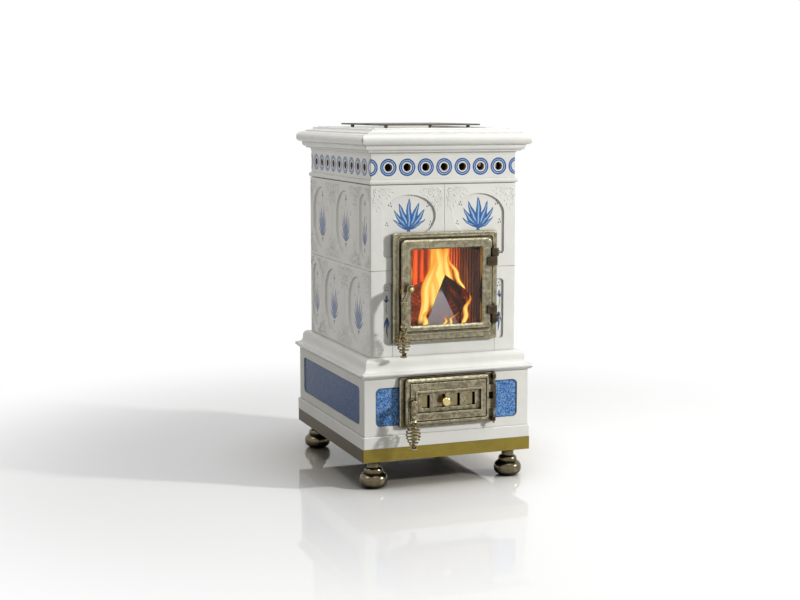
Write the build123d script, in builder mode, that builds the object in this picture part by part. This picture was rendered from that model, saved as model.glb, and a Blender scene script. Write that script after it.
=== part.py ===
from build123d import *
import math
import os

# A tiled stove. Millimetres. X is across the front, Y goes to the back, Z is up.
# The origin is on the floor, under the middle of the body.

# ---------------------------------------------------------------- body and courses
body_width = 420.0
body_depth = 525.0
foot_height = 78.0
band_height = 36.0
skirt_height = 32.0
base_panel_height = 156.0
moulding_height = 50.0
lower_course_height = 231.0
upper_course_height = 225.0
frieze_height = 76.0
crown_height = 71.0

skirt_level = foot_height + band_height
base_panel_level = skirt_level + skirt_height
moulding_level = base_panel_level + base_panel_height
lower_level = moulding_level + moulding_height
upper_level = lower_level + lower_course_height
frieze_level = upper_level + upper_course_height
crown_level = frieze_level + frieze_height
crown_top = crown_level + crown_height

half_width = body_width / 2
half_depth = body_depth / 2

# ---------------------------------------------------------------- clearances
joint_gap = 0.8          # mortar line between neighbouring tiles
part_gap = 0.3           # between faces that move past each other
shaft_clearance = 0.06   # radial, for every pin and shaft that turns
seat_clearance = 0.02    # radial, for every pin that is held fast

# ---------------------------------------------------------------- tiles
tile_thickness = 16.0
tile_corner_radius = 4.0
recess_depth = 4.0
recess_slope = 35.0
recess_width = 149.0
recess_margin = 25.0
narrow_recess_width = 68.0
front_recess_top_margin = 27.0
front_recess_outer_margin = 36.0
front_recess_bottom_margin = 34.0
front_recess_arch_height = 56.0
front_recess_corner = 10.0

# ---------------------------------------------------------------- base
base_stand_out = 27.0
base_panel_thickness = 16.0
skirt_stand_out = 33.0
skirt_thickness = 22.0
skirt_chamfer = 1.5
skirt_corner = 5.0
band_stand_out = 32.0
band_thickness = 2.5
band_corner = 2.0
tray_wall = 3.0
tray_floor = 4.0
tray_flange = 26.0
inlet_x = half_width - 22
inlet_length = 70.0
inlet_width = 14.0
inlet_count = 4
inlet_margin = 82.5
inlet_pitch = (body_depth - 2 * inlet_margin) / inlet_count
field_depth = 2.5
field_margin_front = 32.0
field_margin_side = 38.0
field_margin_bottom = 25.0
field_margin_top = 27.0
field_corner = 14.0

foot_inset = 13.0
foot_radius = 38.0
foot_pad_radius = 16.0
foot_widest = 22.0
foot_waist_radius = 25.0
foot_waist_height = 41.0
foot_dome_radius = 23.0
foot_dome_height = 53.0
foot_neck_radius = 17.0
foot_neck_height = 60.0
foot_collar_radius = 24.0
foot_stud_radius = 5.0
foot_stud_length = 14.0

# ---------------------------------------------------------------- plinth moulding and crown
lip_stand_out = 40.0
lip_corner_radius = 9.0
nose_stand_out = 33.0
nose_corner_radius = 7.0
frieze_set_back = 3.5
frieze_thickness = 14.0
bead_height = 14.0
bead_stand_out = 2.5
vents_across = 7
vents_along = 9
vent_radius = 10.5
vent_height = 45.0
crown_wall = 22.0
crown_slab = 14.0
crown_opening_inset = 45.0
mitre_gap = 0.4

# ---------------------------------------------------------------- firebox
shell_side_gap = 52.0
shell_front_gap = 20.5
shell_back_gap = 92.5
shell_half_width = half_width - shell_side_gap
shell_front = -half_depth + shell_front_gap
shell_back = half_depth - shell_back_gap
shell_level = foot_height + tray_floor
shell_top = frieze_level - 8
shell_wall = 4.0
weld_seam = 0.2
ash_floor_level = base_panel_level + 14
hearth_level = lower_level - 22
hearth_thickness = 10.0
hearth_ledge = 22.0
flue_rise = 112.0
flue_level = upper_level + flue_rise
flue_bore_radius = 60.5
flue_wall = 2.5
flue_flange_radius = 76.0
flue_flange_thickness = 4.0
flue_hole_margin = 5.5
flue_projection = 93.5
flue_end = half_depth + flue_projection
flue_hole_clearance = 3.0
brick_thickness = 28.0
brick_drop = 73.0
brick_top = flue_level - brick_drop
flute_pitch = 19.0
flute_radius = 6.0
grate_width = 170.0
grate_length = 190.0
grate_centre_y = (shell_front + shell_back) / 2 - 4
grate_bar = 9.0
grate_slot = 9.0
grate_ledge = 8.0
baffle_thickness = 8.0
baffle_back_level = brick_top + 6
baffle_front_rise = 50.0
baffle_front_gap = 92.0
baffle_front_level = brick_top + baffle_front_rise
baffle_front = shell_front + baffle_front_gap

# ---------------------------------------------------------------- top frame and top plate
top_frame_drop = 29.0
top_frame_level = crown_top - top_frame_drop
top_frame_thickness = 4.0
top_frame_gap = 2.0
top_frame_leg = 16.0
top_slot_width = 14.0
top_slot_margin = 21.0
top_slot_pitch = 30.0
top_slot_count = 11
plate_side_margin = 62.0
plate_end_margin = 96.5
plate_width = body_width - 2 * plate_side_margin
plate_length = body_depth - 2 * plate_end_margin
plate_thickness = 4.0
plate_rise = 5.5
plate_level = crown_top + plate_rise
plate_corner = 12.0
plate_foot_radius = 5.0
plate_foot_inset = 28.0

# ---------------------------------------------------------------- fire door frame
frame_side_margin = 60.5
frame_thickness = 12.0
frame_half_width = half_width - frame_side_margin
frame_bottom = lower_level + 36
frame_rise = 98.0
frame_top = upper_level + frame_rise
frame_front = -half_depth - frame_thickness
frame_neck_half_width = frame_half_width - 10.5
frame_neck_bottom = frame_bottom + 8
frame_neck_top = frame_top - 9
frame_opening_left = -frame_half_width + 29
frame_opening_right = frame_half_width - 35.5
frame_opening_bottom = frame_bottom + 19.5
frame_opening_top = frame_top - 26.5
frame_corner = 8.0
frame_edge_chamfer = 2.5
frame_bead_inset = 11.0
frame_top_bead_inset = 8.5
frame_bead_width = 4.0
frame_bead_height = 2.5
frame_bead_corner = 12.0
frame_bead_break = 6.0
strip_half_width = frame_half_width - 1.5
tile_opening_gap = 1.0

# ---------------------------------------------------------------- fire door leaf
leaf_thickness = 12.7
leaf_half_width = frame_half_width - 19.5
leaf_bottom = frame_bottom + 10
leaf_top = frame_top - 17
leaf_back = frame_front - part_gap
leaf_front = leaf_back - leaf_thickness
leaf_corner = 14.0
leaf_edge_chamfer = 4.0
leaf_rail_height = 21.0
leaf_rail_drop = 5.0
leaf_bead_bottom = 12.0
leaf_bead_width = 6.0
leaf_bead_height = 2.5
leaf_bead_inset = 6.0
leaf_bead_taper = 25.0
window_half_width = leaf_half_width - 28
window_bottom = leaf_bottom + 37
window_top = leaf_top - 26
window_corner = 5.0
window_moulding = 4.5
glass_overlap = 5.0
glass_clearance = 1.5
glass_thickness = 4.0
gasket_thickness = 3.5
rope_width = 6.0
rope_depth = 4.0
rope_edge = 1.5
rope_hinge_edge = 8.0
clip_width = 20.0
clip_length = 15.0
clip_thickness = 2.0
clip_x = leaf_half_width - 70
clip_reach = 8.0
clip_screw_radius = 2.0
clip_screw_head_radius = 3.6
clip_screw_head_height = 2.4
clip_screw_length = 5.5

# ---------------------------------------------------------------- fire door hinge
hinge_x = leaf_half_width + 6.5
hinge_y = frame_front - 9.5
hinge_barrel_radius = 9.0
hinge_pin_radius = 4.0
hinge_block_inner = hinge_x - 10
hinge_strap_inner = hinge_x - 21.5
hinge_notch = 6.0
upper_lug = (leaf_top - 51, leaf_top - 29)
upper_knuckle = (upper_lug[0] - 24, upper_lug[0] - part_gap)
lower_lug = (leaf_bottom + 36, leaf_bottom + 60.5)
lower_knuckle = (lower_lug[1] + part_gap, lower_lug[1] + 21.5)
pin_engagement = 18.0
pin_head_radius = 6.0
pin_head_height = 3.0
set_screw_radius = 2.4
set_screw_head_radius = 4.0
set_screw_head_length = 6.0

# ---------------------------------------------------------------- fire door handle
handle_x = -leaf_half_width + 15
handle_height = 140.0
handle_z = leaf_bottom + handle_height
handle_boss_radius = 11.0
handle_boss_height = 4.0
handle_shaft_radius = 4.0
handle_hub_radius = 10.0
handle_arm_thickness = 10.0
handle_arm_y = leaf_front - 22
handle_rod_x = handle_x - 19
handle_ferrule_z = handle_z - 37
handle_ferrule_radius = 7.5
handle_ferrule_height = 7.0
arm_half_width = 5.2
handle_rod_radius = 4.6
nut_radius = 6.5
nut_height = 6.0
nut_dome_radius = 4.5
nut_dome_fillet = 3.6
cam_thickness = 5.5
cam_half_width = 4.5
cam_reach = 13.5
cam_boss_radius = 7.5
latch_notch_half_height = 18.0
latch_notch_depth = 10.0

# wire-coil grips
wire_radius = 1.75
core_radius = 4.0
grip_cap_height = 4.0
grip_cap_radius = 10.2
grip_cap_taper = 25.0
grip_end_radius = 7.0
door_grip_drop = 100.0
door_grip_top = handle_z - door_grip_drop
door_grip_length = 77.0
door_grip_turns = 7
door_grip_radius = 17.5
door_grip_peak = 0.60

# ---------------------------------------------------------------- ash door frame and leaf
base_face = half_depth + base_stand_out
ash_frame_left = -half_width + 70
ash_frame_right = half_width - 72.5
ash_frame_bottom = base_panel_level + 18
ash_frame_top = moulding_level - 0.5
ash_frame_proud = 8.0
ash_frame_corner = 6.0
ash_frame_chamfer = 2.0
ash_frame_front = -base_face - ash_frame_proud
ash_neck_left = ash_frame_left + 7
ash_neck_right = ash_frame_right - 13.5
ash_neck_bottom = ash_frame_bottom + 7
ash_neck_top = ash_frame_top - 5.5
ash_opening_left = ash_frame_left + 22
ash_opening_right = ash_frame_right - 31.5
ash_opening_bottom = ash_frame_bottom + 14
ash_opening_top = ash_frame_top - 11.5

ash_leaf_left = ash_frame_left + 13
ash_leaf_right = ash_frame_right - 22.5
ash_leaf_bottom = ash_frame_bottom + 8
ash_leaf_top = ash_frame_top - 4.5
ash_leaf_thickness = 13.7
ash_leaf_back = ash_frame_front - part_gap
ash_leaf_front = ash_leaf_back - ash_leaf_thickness
ash_leaf_corner = 9.0
ash_leaf_chamfer = 4.5
ash_groove_inset = 9.0
ash_groove_width = 4.0
ash_groove_depth = 3.0
ash_panel_left = ash_leaf_left + 31
ash_panel_right = ash_leaf_right - 27
ash_panel_bottom = ash_leaf_bottom + 32
ash_panel_top = ash_leaf_top - 37
ash_panel_depth = 5.0
ash_bead_width = 4.5
ash_bead_height = 2.5

# ---------------------------------------------------------------- air windows, slide and knob
air_window_width = 23.0
air_window_height = 36.0
air_window_count = 4
air_window_margin = 26.75
air_window_first = ash_panel_left + air_window_margin
air_window_span = ash_panel_right - ash_panel_left - 2 * air_window_margin
air_window_pitch = air_window_span / (air_window_count - 1)
air_window_middle = ash_panel_bottom + 30
slide_thickness = 2.0
slide_height = 50.0
slide_bar = 25.0
slide_rest_shift = -7.0
slide_left = 17.0
slide_right = 22.0
slide_slot_height = 40.0
slide_guide_lip = 4.0
slide_lip_thickness = 1.4
slide_tab_height = 12.0
stem_x = (ash_panel_left + ash_panel_right) / 2 - 14
stem_radius = 4.0
knob_radius = 12.0
knob_length = 15.0
knob_fillet = 5.4
knob_gap = 1.5

# ---------------------------------------------------------------- ash door hinge and handle
ash_hinge_x = ash_leaf_right + 14
ash_hinge_y = ash_frame_front - 7.5
ash_barrel_radius = 5.5
ash_pin_radius = 2.5
ash_pin_bottom = ash_frame_bottom - 3
ash_pin_top = ash_frame_top - 3.5
ash_leaf_middle = (ash_leaf_bottom + ash_leaf_top) / 2
ash_knuckles = (
    (ash_leaf_middle - 31, ash_leaf_middle - 5),
    (ash_leaf_middle + 14.5, ash_leaf_middle + 33.5),
)
ash_lugs = (
    (ash_leaf_bottom - 4, ash_leaf_bottom + 8),
    (ash_leaf_middle - 4.5, ash_leaf_middle + 14),
    (ash_leaf_top - 13, ash_leaf_top - 1),
)

ash_handle_x = ash_leaf_left + 14
ash_handle_z = ash_leaf_bottom + 63
ash_hub_radius = 9.0
ash_boss_radius = 10.0
ash_arm_y = ash_leaf_front - 23.5
ash_arm_thickness = 8.0
ash_rod_x = ash_handle_x - 3
ash_ferrule_z = ash_handle_z - 35
ash_ferrule_radius = 6.5
ash_cam_reach = 12.0
ash_notch_depth = 9.0
ash_notch_half_height = 15.0
ash_grip_top = ash_handle_z - 46
ash_grip_length = 72.0
ash_grip_turns = 7
ash_grip_radius = 19.0
ash_grip_peak = 0.48

# ---------------------------------------------------------------- ash pan
pan_clearance = 14.0
pan_left = ash_opening_left + pan_clearance
pan_right = ash_opening_right - pan_clearance
pan_front = shell_front + pan_clearance
pan_length = 288.0
pan_height = 58.0
pan_wall = 2.0
pan_tab_width = 60.0
pan_tab_length = 9.0
pan_tab_height = 12.0

os.makedirs("parts", exist_ok=True)


def save(piece, name):
    """Label a finished piece and write it under its own name."""
    piece.part.label = name
    export_step(piece.part, f"parts/{name}.step")


def face_plane(side, along, height, inset=0.0):
    """A plane on one face of the body, looking outwards, its Y axis up."""
    places = {
        "front": ((along, -half_depth + inset, height), (1, 0, 0), (0, -1, 0)),
        "back": ((along, half_depth - inset, height), (-1, 0, 0), (0, 1, 0)),
        "left": ((-half_width + inset, along, height), (0, -1, 0), (-1, 0, 0)),
        "right": ((half_width - inset, along, height), (0, 1, 0), (1, 0, 0)),
    }
    origin, x_dir, z_dir = places[side]
    return Plane(origin=origin, x_dir=x_dir, z_dir=z_dir)


def front_plane(y):
    """A plane across the stove at this depth, looking at the viewer: local X and Y are X and Z."""
    return Plane(origin=(0, y, 0), x_dir=(1, 0, 0), z_dir=(0, -1, 0))


def box_between(low, high, mode=Mode.ADD):
    """A box from its lowest to its highest corner, added to the open part."""
    size = Vector(high) - Vector(low)
    with Locations((Vector(high) + Vector(low)) / 2):
        Box(size.X, size.Y, size.Z, mode=mode)


def rectangle_between(left, right, bottom, top, corner=0.0, mode=Mode.ADD):
    """A rectangle, with round corners where asked, added to the open sketch."""
    with Locations(((left + right) / 2, (bottom + top) / 2)):
        if corner > 0:
            RectangleRounded(right - left, top - bottom, corner, mode=mode)
        else:
            Rectangle(right - left, top - bottom, mode=mode)


# ---------------------------------------------------------------- feet
# Bun feet, each with a stud that goes up through the floor of the base frame.
foot_x = half_width - foot_inset
foot_y = half_depth - foot_inset
foot_places = {
    "foot_front_left": (-foot_x, -foot_y),
    "foot_front_right": (foot_x, -foot_y),
    "foot_back_left": (-foot_x, foot_y),
    "foot_back_right": (foot_x, foot_y),
}
for foot_name, (x, y) in foot_places.items():
    with BuildPart() as foot:
        with BuildSketch(Plane(origin=(x, y, 0), x_dir=(1, 0, 0), z_dir=(0, -1, 0))):
            with BuildLine():
                bun = Spline(
                    (foot_pad_radius, 0),
                    (foot_radius, foot_widest),
                    (foot_waist_radius, foot_waist_height),
                    tangents=((1, 0.15), (-1, 0.45)),
                )
                dome = ThreePointArc(
                    bun @ 1,
                    (foot_waist_radius + 0.5, (foot_waist_height + foot_dome_height) / 2),
                    (foot_dome_radius, foot_dome_height),
                )
                hollow = ThreePointArc(
                    dome @ 1,
                    (foot_neck_radius + 1.5, foot_dome_height + 2),
                    (foot_neck_radius, foot_neck_height),
                )
                neck = ThreePointArc(
                    hollow @ 1,
                    (foot_neck_radius + 1, foot_height - 10),
                    (foot_collar_radius, foot_height - 3),
                )
                Polyline(
                    neck @ 1,
                    (foot_collar_radius, foot_height),
                    (foot_stud_radius, foot_height),
                    (foot_stud_radius, foot_height + foot_stud_length),
                    (0, foot_height + foot_stud_length),
                    (0, 0),
                    bun @ 0,
                )
            make_face()
        revolve(axis=Axis((x, y, 0), (0, 0, 1)))
    save(foot, foot_name)

# ---------------------------------------------------------------- base frame
# A folded steel tray: floor, walls and an inward flange that carries the skirt.
tray_half_width = half_width + band_stand_out - band_thickness
tray_half_depth = half_depth + band_stand_out - band_thickness
with BuildPart() as base_frame:
    box_between(
        (-tray_half_width, -tray_half_depth, foot_height),
        (tray_half_width, tray_half_depth, skirt_level),
    )
    box_between(
        (-tray_half_width + tray_wall, -tray_half_depth + tray_wall, shell_level),
        (tray_half_width - tray_wall, tray_half_depth - tray_wall, skirt_level - tray_wall),
        mode=Mode.SUBTRACT,
    )
    box_between(
        (-tray_half_width + tray_flange, -tray_half_depth + tray_flange, shell_level),
        (tray_half_width - tray_flange, tray_half_depth - tray_flange, skirt_level),
        mode=Mode.SUBTRACT,
    )
    with BuildSketch(Plane.XY.offset(foot_height)):
        with Locations(*foot_places.values()):
            Circle(foot_stud_radius + seat_clearance)
        with GridLocations(2 * inlet_x, inlet_pitch, 2, inlet_count):
            SlotOverall(inlet_length, inlet_width, rotation=90)
    extrude(amount=tray_floor, mode=Mode.SUBTRACT)
save(base_frame, "base_frame")


# The brass band is bent from strip round the tray; the skirt is a cast, glazed ring.
with BuildPart() as brass_band:
    with BuildSketch(Plane.XY.offset(foot_height)):
        RectangleRounded(body_width + 2 * band_stand_out, body_depth + 2 * band_stand_out, band_corner)
        Rectangle(2 * tray_half_width, 2 * tray_half_depth, mode=Mode.SUBTRACT)
    extrude(amount=band_height)
save(brass_band, "brass_band")

with BuildPart() as skirt:
    with BuildSketch(Plane.XY.offset(skirt_level)):
        RectangleRounded(body_width + 2 * skirt_stand_out, body_depth + 2 * skirt_stand_out, skirt_corner)
    extrude(amount=skirt_height)
    chamfer(skirt.faces().sort_by(Axis.Z)[-1].edges(), skirt_chamfer)
    skirt_inner = skirt_stand_out - skirt_thickness
    box_between(
        (-half_width - skirt_inner, -half_depth - skirt_inner, skirt_level),
        (half_width + skirt_inner, half_depth + skirt_inner, base_panel_level),
        mode=Mode.SUBTRACT,
    )
save(skirt, "skirt")

# ---------------------------------------------------------------- base panels
# Four glazed panels, mitred at the corners, each with a sunk field for the blue glaze.
panel_outer_x = half_width + base_stand_out
panel_outer_y = half_depth + base_stand_out
panel_inner_x = panel_outer_x - base_panel_thickness
panel_inner_y = panel_outer_y - base_panel_thickness
panel_plans = {
    "base_panel_front": ((-1, -1), (1, -1)),
    "base_panel_back": ((1, 1), (-1, 1)),
    "base_panel_left": ((-1, 1), (-1, -1)),
    "base_panel_right": ((1, -1), (1, 1)),
}
for panel_name, (start, end) in panel_plans.items():
    side = panel_name.removeprefix("base_panel_")
    with BuildPart() as base_panel:
        with BuildSketch(Plane.XY.offset(base_panel_level)):
            with BuildLine():
                Polyline(
                    (start[0] * panel_outer_x, start[1] * panel_outer_y),
                    (end[0] * panel_outer_x, end[1] * panel_outer_y),
                    (end[0] * panel_inner_x, end[1] * panel_inner_y),
                    (start[0] * panel_inner_x, start[1] * panel_inner_y),
                    close=True,
                )
            make_face()
        extrude(amount=base_panel_height)
        if side in ("front", "back"):
            field_width = 2 * (panel_outer_x - field_margin_front)
        else:
            field_width = 2 * (panel_outer_y - field_margin_side)
        field_height = base_panel_height - field_margin_bottom - field_margin_top
        field_middle = base_panel_level + field_margin_bottom + field_height / 2
        with BuildSketch(face_plane(side, 0, field_middle, inset=-base_stand_out)):
            RectangleRounded(field_width, field_height, field_corner)
        extrude(amount=-field_depth, mode=Mode.SUBTRACT)
        if side == "front":
            box_between(
                (ash_neck_left - part_gap, -panel_outer_y, ash_neck_bottom - part_gap),
                (ash_neck_right + part_gap, -panel_inner_y, ash_neck_top + part_gap),
                mode=Mode.SUBTRACT,
            )
    save(base_panel, panel_name)


# ---------------------------------------------------------------- plinth moulding
def lip_outline(half):
    """Half of the plinth moulding's outline: X from the middle, Y up from the floor."""
    cove = ThreePointArc(
        (half + 6, lower_level),
        (half + 15, lower_level - 4),
        (half + 19.5, lower_level - 13),
    )
    fillet_line = Line(cove @ 1, (half + 20, lower_level - 23))
    sweep_out = ThreePointArc(
        fillet_line @ 1,
        (half + 24.5, lower_level - 32),
        (half + lip_stand_out - 4, lower_level - 36),
    )
    nose = ThreePointArc(
        sweep_out @ 1,
        (half + lip_stand_out, lower_level - 40.5),
        (half + lip_stand_out - 3.5, moulding_level + 4.5),
    )
    Polyline(
        nose @ 1,
        (half + lip_stand_out - 8, moulding_level),
        (0, moulding_level),
        (0, lower_level),
        cove @ 0,
    )


def mitred_solid(outline, corner, stand_out):
    """A solid whose four sides follow one outline, mitred at the corners, in the open part."""
    with BuildSketch(Plane.XZ) as across:
        with BuildLine():
            outline(half_width)
        make_face()
        mirror(about=Plane.YZ)
    extrude(across.sketch, amount=body_depth, both=True)
    with BuildSketch(Plane.YZ) as along:
        with BuildLine():
            outline(half_depth)
        make_face()
        mirror(about=Plane.YZ)
    extrude(along.sketch, amount=body_depth, both=True, mode=Mode.INTERSECT)
    with BuildSketch(Plane.XY) as plan:
        RectangleRounded(body_width + 2 * stand_out, body_depth + 2 * stand_out, corner)
    extrude(plan.sketch, amount=2 * crown_top, mode=Mode.INTERSECT)


def part_the_corners(level, height):
    """Slit the ring in the open part along its four mitres, as it is cast in four lengths."""
    for x_sign in (-1, 1):
        for y_sign in (-1, 1):
            corner = Location((x_sign * half_width, y_sign * half_depth), 45 * x_sign * y_sign)
            with BuildSketch(Plane.XY.offset(level)) as slit:
                with Locations(corner):
                    Rectangle(4 * crown_opening_inset, mitre_gap)
            extrude(slit.sketch, amount=height, mode=Mode.SUBTRACT)


with BuildPart() as plinth_moulding:
    mitred_solid(lip_outline, lip_corner_radius, lip_stand_out)
    box_between(
        (-half_width + tile_thickness, -half_depth + tile_thickness, moulding_level),
        (half_width - tile_thickness, half_depth - tile_thickness, lower_level),
        mode=Mode.SUBTRACT,
    )
save(plinth_moulding, "plinth_moulding")


# ---------------------------------------------------------------- tiles
def cut_oval(side, along, level_and_course, width):
    """A round-ended recess with sloping edges in the open tile."""
    level, course = level_and_course
    height = course - 2 * recess_margin
    plane = face_plane(side, along, level + course / 2, inset=recess_depth)
    narrowing = 2 * recess_depth * math.tan(math.radians(recess_slope))
    with BuildSketch(plane) as oval:
        SlotOverall(height - narrowing, width - narrowing, rotation=90)
    extrude(oval.sketch, amount=recess_depth, taper=-recess_slope, mode=Mode.SUBTRACT)


def tile_leg(side, start, end, level_and_course):
    """One flat leg of a tile, flush with a face of the body."""
    level, course = level_and_course
    low, high = min(start, end), max(start, end)
    spans = {
        "front": ((low, -half_depth), (high, -half_depth + tile_thickness)),
        "back": ((low, half_depth - tile_thickness), (high, half_depth)),
        "left": ((-half_width, low), (-half_width + tile_thickness, high)),
        "right": ((half_width - tile_thickness, low), (half_width, high)),
    }
    (x0, y0), (x1, y1) = spans[side]
    box_between((x0, y0, level), (x1, y1, level + course - joint_gap))


def round_outer_corner(corner_tile, x_sign, y_sign):
    """Round the tile's upright edge on the corner of the body."""
    uprights = corner_tile.edges().filter_by(Axis.Z)
    outermost = max(uprights, key=lambda edge: x_sign * edge.center().X + y_sign * edge.center().Y)
    fillet(outermost, tile_corner_radius)


def front_recess(x_sign):
    """The arched recess of an upper front tile, which runs down beside the fire door."""
    top = upper_level + upper_course_height - front_recess_top_margin
    outer = half_width - front_recess_outer_margin
    inner = outer - recess_width
    middle = (outer + inner) / 2
    spring = top - front_recess_arch_height
    bottom = upper_level + front_recess_bottom_margin
    left, right = sorted((x_sign * middle, x_sign * outer))
    with BuildSketch(face_plane("front", 0, 0, inset=recess_depth)) as arch:
        with Locations((x_sign * middle, spring)):
            Ellipse(recess_width / 2, front_recess_arch_height)
        rectangle_between(left, right, bottom, spring, front_recess_corner)
        rectangle_between(left, right, spring - 2 * front_recess_corner, spring)
    extrude(arch.sketch, amount=recess_depth, mode=Mode.SUBTRACT)


door_cut_left = -frame_neck_half_width - tile_opening_gap
door_cut_right = frame_neck_half_width + tile_opening_gap
door_cut_bottom = frame_neck_bottom - tile_opening_gap
door_cut_top = frame_neck_top + tile_opening_gap


def cut_door_opening():
    """Clear the fire door's neck out of the open tile."""
    box_between(
        (door_cut_left, -half_depth, door_cut_bottom),
        (door_cut_right, -half_depth + tile_thickness, door_cut_top),
        mode=Mode.SUBTRACT,
    )


upper_course = (upper_level, upper_course_height)
lower_course = (lower_level, lower_course_height)
half_tile = body_width / 4
side_tile = body_depth * 2 / 5
side_half_tile = body_depth / 5
gap = joint_gap / 2
signs = {"left": -1, "right": 1}

for hand, x_sign in signs.items():
    # upper course, front corner: a full face in front and a half return on the side
    with BuildPart() as tile:
        tile_leg("front", x_sign * half_width, x_sign * gap, upper_course)
        tile_leg(hand, -half_depth, -half_depth + side_half_tile - gap, upper_course)
        round_outer_corner(tile, x_sign, -1)
        front_recess(x_sign)
        cut_oval(hand, -half_depth + side_half_tile / 2, upper_course, narrow_recess_width)
        cut_door_opening()
    save(tile, f"upper_tile_front_{hand}")

    # upper course, back corner: a half return on the back and a full face on the side
    with BuildPart() as tile:
        tile_leg("back", x_sign * half_width, x_sign * (half_tile + gap), upper_course)
        tile_leg(hand, half_depth, half_depth - side_tile + gap, upper_course)
        round_outer_corner(tile, x_sign, 1)
        cut_oval(hand, half_depth - side_tile / 2, upper_course, recess_width)
        cut_oval("back", x_sign * (half_width + half_tile) / 2, upper_course, narrow_recess_width)
    save(tile, f"upper_tile_back_{hand}")

    # upper course, plain tile between them
    side_start = -half_depth + side_half_tile
    with BuildPart() as tile:
        tile_leg(hand, side_start + gap, side_start + side_tile - gap, upper_course)
        cut_oval(hand, side_start + side_tile / 2, upper_course, recess_width)
    save(tile, f"upper_tile_{hand}")

    # lower course, front corner: a full face on the side and a short return in front
    with BuildPart() as tile:
        tile_leg("front", x_sign * half_width, x_sign * (strip_half_width + gap), lower_course)
        tile_leg(hand, -half_depth, -half_depth + side_tile - gap, lower_course)
        round_outer_corner(tile, x_sign, -1)
        with BuildSketch(face_plane("front", 0, 0)):
            past_the_cut = x_sign * (strip_half_width - front_recess_corner)
            recess_edge = x_sign * (half_width - front_recess_outer_margin)
            rectangle_between(
                min(past_the_cut, recess_edge),
                max(past_the_cut, recess_edge),
                lower_level + front_recess_bottom_margin,
                upper_level - front_recess_bottom_margin,
                front_recess_corner,
            )
        extrude(amount=-recess_depth, mode=Mode.SUBTRACT)
        cut_oval(hand, -half_depth + side_tile / 2, lower_course, recess_width)
    save(tile, f"lower_tile_front_{hand}")

    # lower course, back corner: a full face on the back and a half return on the side
    with BuildPart() as tile:
        tile_leg("back", x_sign * half_width, x_sign * gap, lower_course)
        tile_leg(hand, half_depth, half_depth - side_half_tile + gap, lower_course)
        round_outer_corner(tile, x_sign, 1)
        cut_oval("back", x_sign * half_width / 2, lower_course, recess_width)
        cut_oval(hand, half_depth - side_half_tile / 2, lower_course, narrow_recess_width)
    save(tile, f"lower_tile_back_{hand}")

    # lower course, plain tile between them
    side_start = -half_depth + side_tile
    with BuildPart() as tile:
        tile_leg(hand, side_start + gap, side_start + side_tile - gap, lower_course)
        cut_oval(hand, side_start + side_tile / 2, lower_course, recess_width)
    save(tile, f"lower_tile_{hand}")

with BuildPart() as lower_strip_front:
    box_between(
        (-strip_half_width + gap, -half_depth, lower_level),
        (strip_half_width - gap, -half_depth + tile_thickness, door_cut_bottom),
    )
save(lower_strip_front, "lower_strip_front")

flue_outer_radius = flue_bore_radius + flue_wall
with BuildPart() as upper_tile_back:
    tile_leg("back", -half_tile + gap, half_tile - gap, upper_course)
    with BuildSketch(face_plane("back", 0, flue_level)):
        Circle(flue_outer_radius + flue_hole_clearance)
    extrude(amount=-tile_thickness, mode=Mode.SUBTRACT)
save(upper_tile_back, "upper_tile_back")

# ---------------------------------------------------------------- frieze
# A pierced ring with a bead along its foot; warm air leaves through the round holes.

def frieze_outline(half):
    """Half of the frieze's outline: a bead, then an upright face."""
    bead = ThreePointArc(
        (half - frieze_set_back, frieze_level),
        (half + bead_stand_out, frieze_level + bead_height / 2),
        (half - frieze_set_back, frieze_level + bead_height),
    )
    Polyline(bead @ 1, (half - frieze_set_back, crown_level), (0, crown_level), (0, frieze_level), bead @ 0)


vent_level = frieze_level + vent_height
pitch_across = body_width / (vents_across + 1)
pitch_along = body_depth / (vents_along + 1)
with BuildPart() as frieze:
    mitred_solid(frieze_outline, nose_corner_radius, nose_stand_out)
    frieze_inset = frieze_set_back + frieze_thickness
    box_between(
        (-half_width + frieze_inset, -half_depth + frieze_inset, frieze_level),
        (half_width - frieze_inset, half_depth - frieze_inset, crown_level),
        mode=Mode.SUBTRACT,
    )
    with BuildSketch(front_plane(0)):
        with Locations((0, vent_level)):
            with GridLocations(pitch_across, pitch_across, vents_across, 1):
                Circle(vent_radius)
    extrude(amount=body_depth, both=True, mode=Mode.SUBTRACT)
    with BuildSketch(Plane.YZ):
        with Locations((0, vent_level)):
            with GridLocations(pitch_along, pitch_along, vents_along, 1):
                Circle(vent_radius)
    extrude(amount=body_width, both=True, mode=Mode.SUBTRACT)
    part_the_corners(frieze_level, frieze_height)
save(frieze, "frieze")


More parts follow.
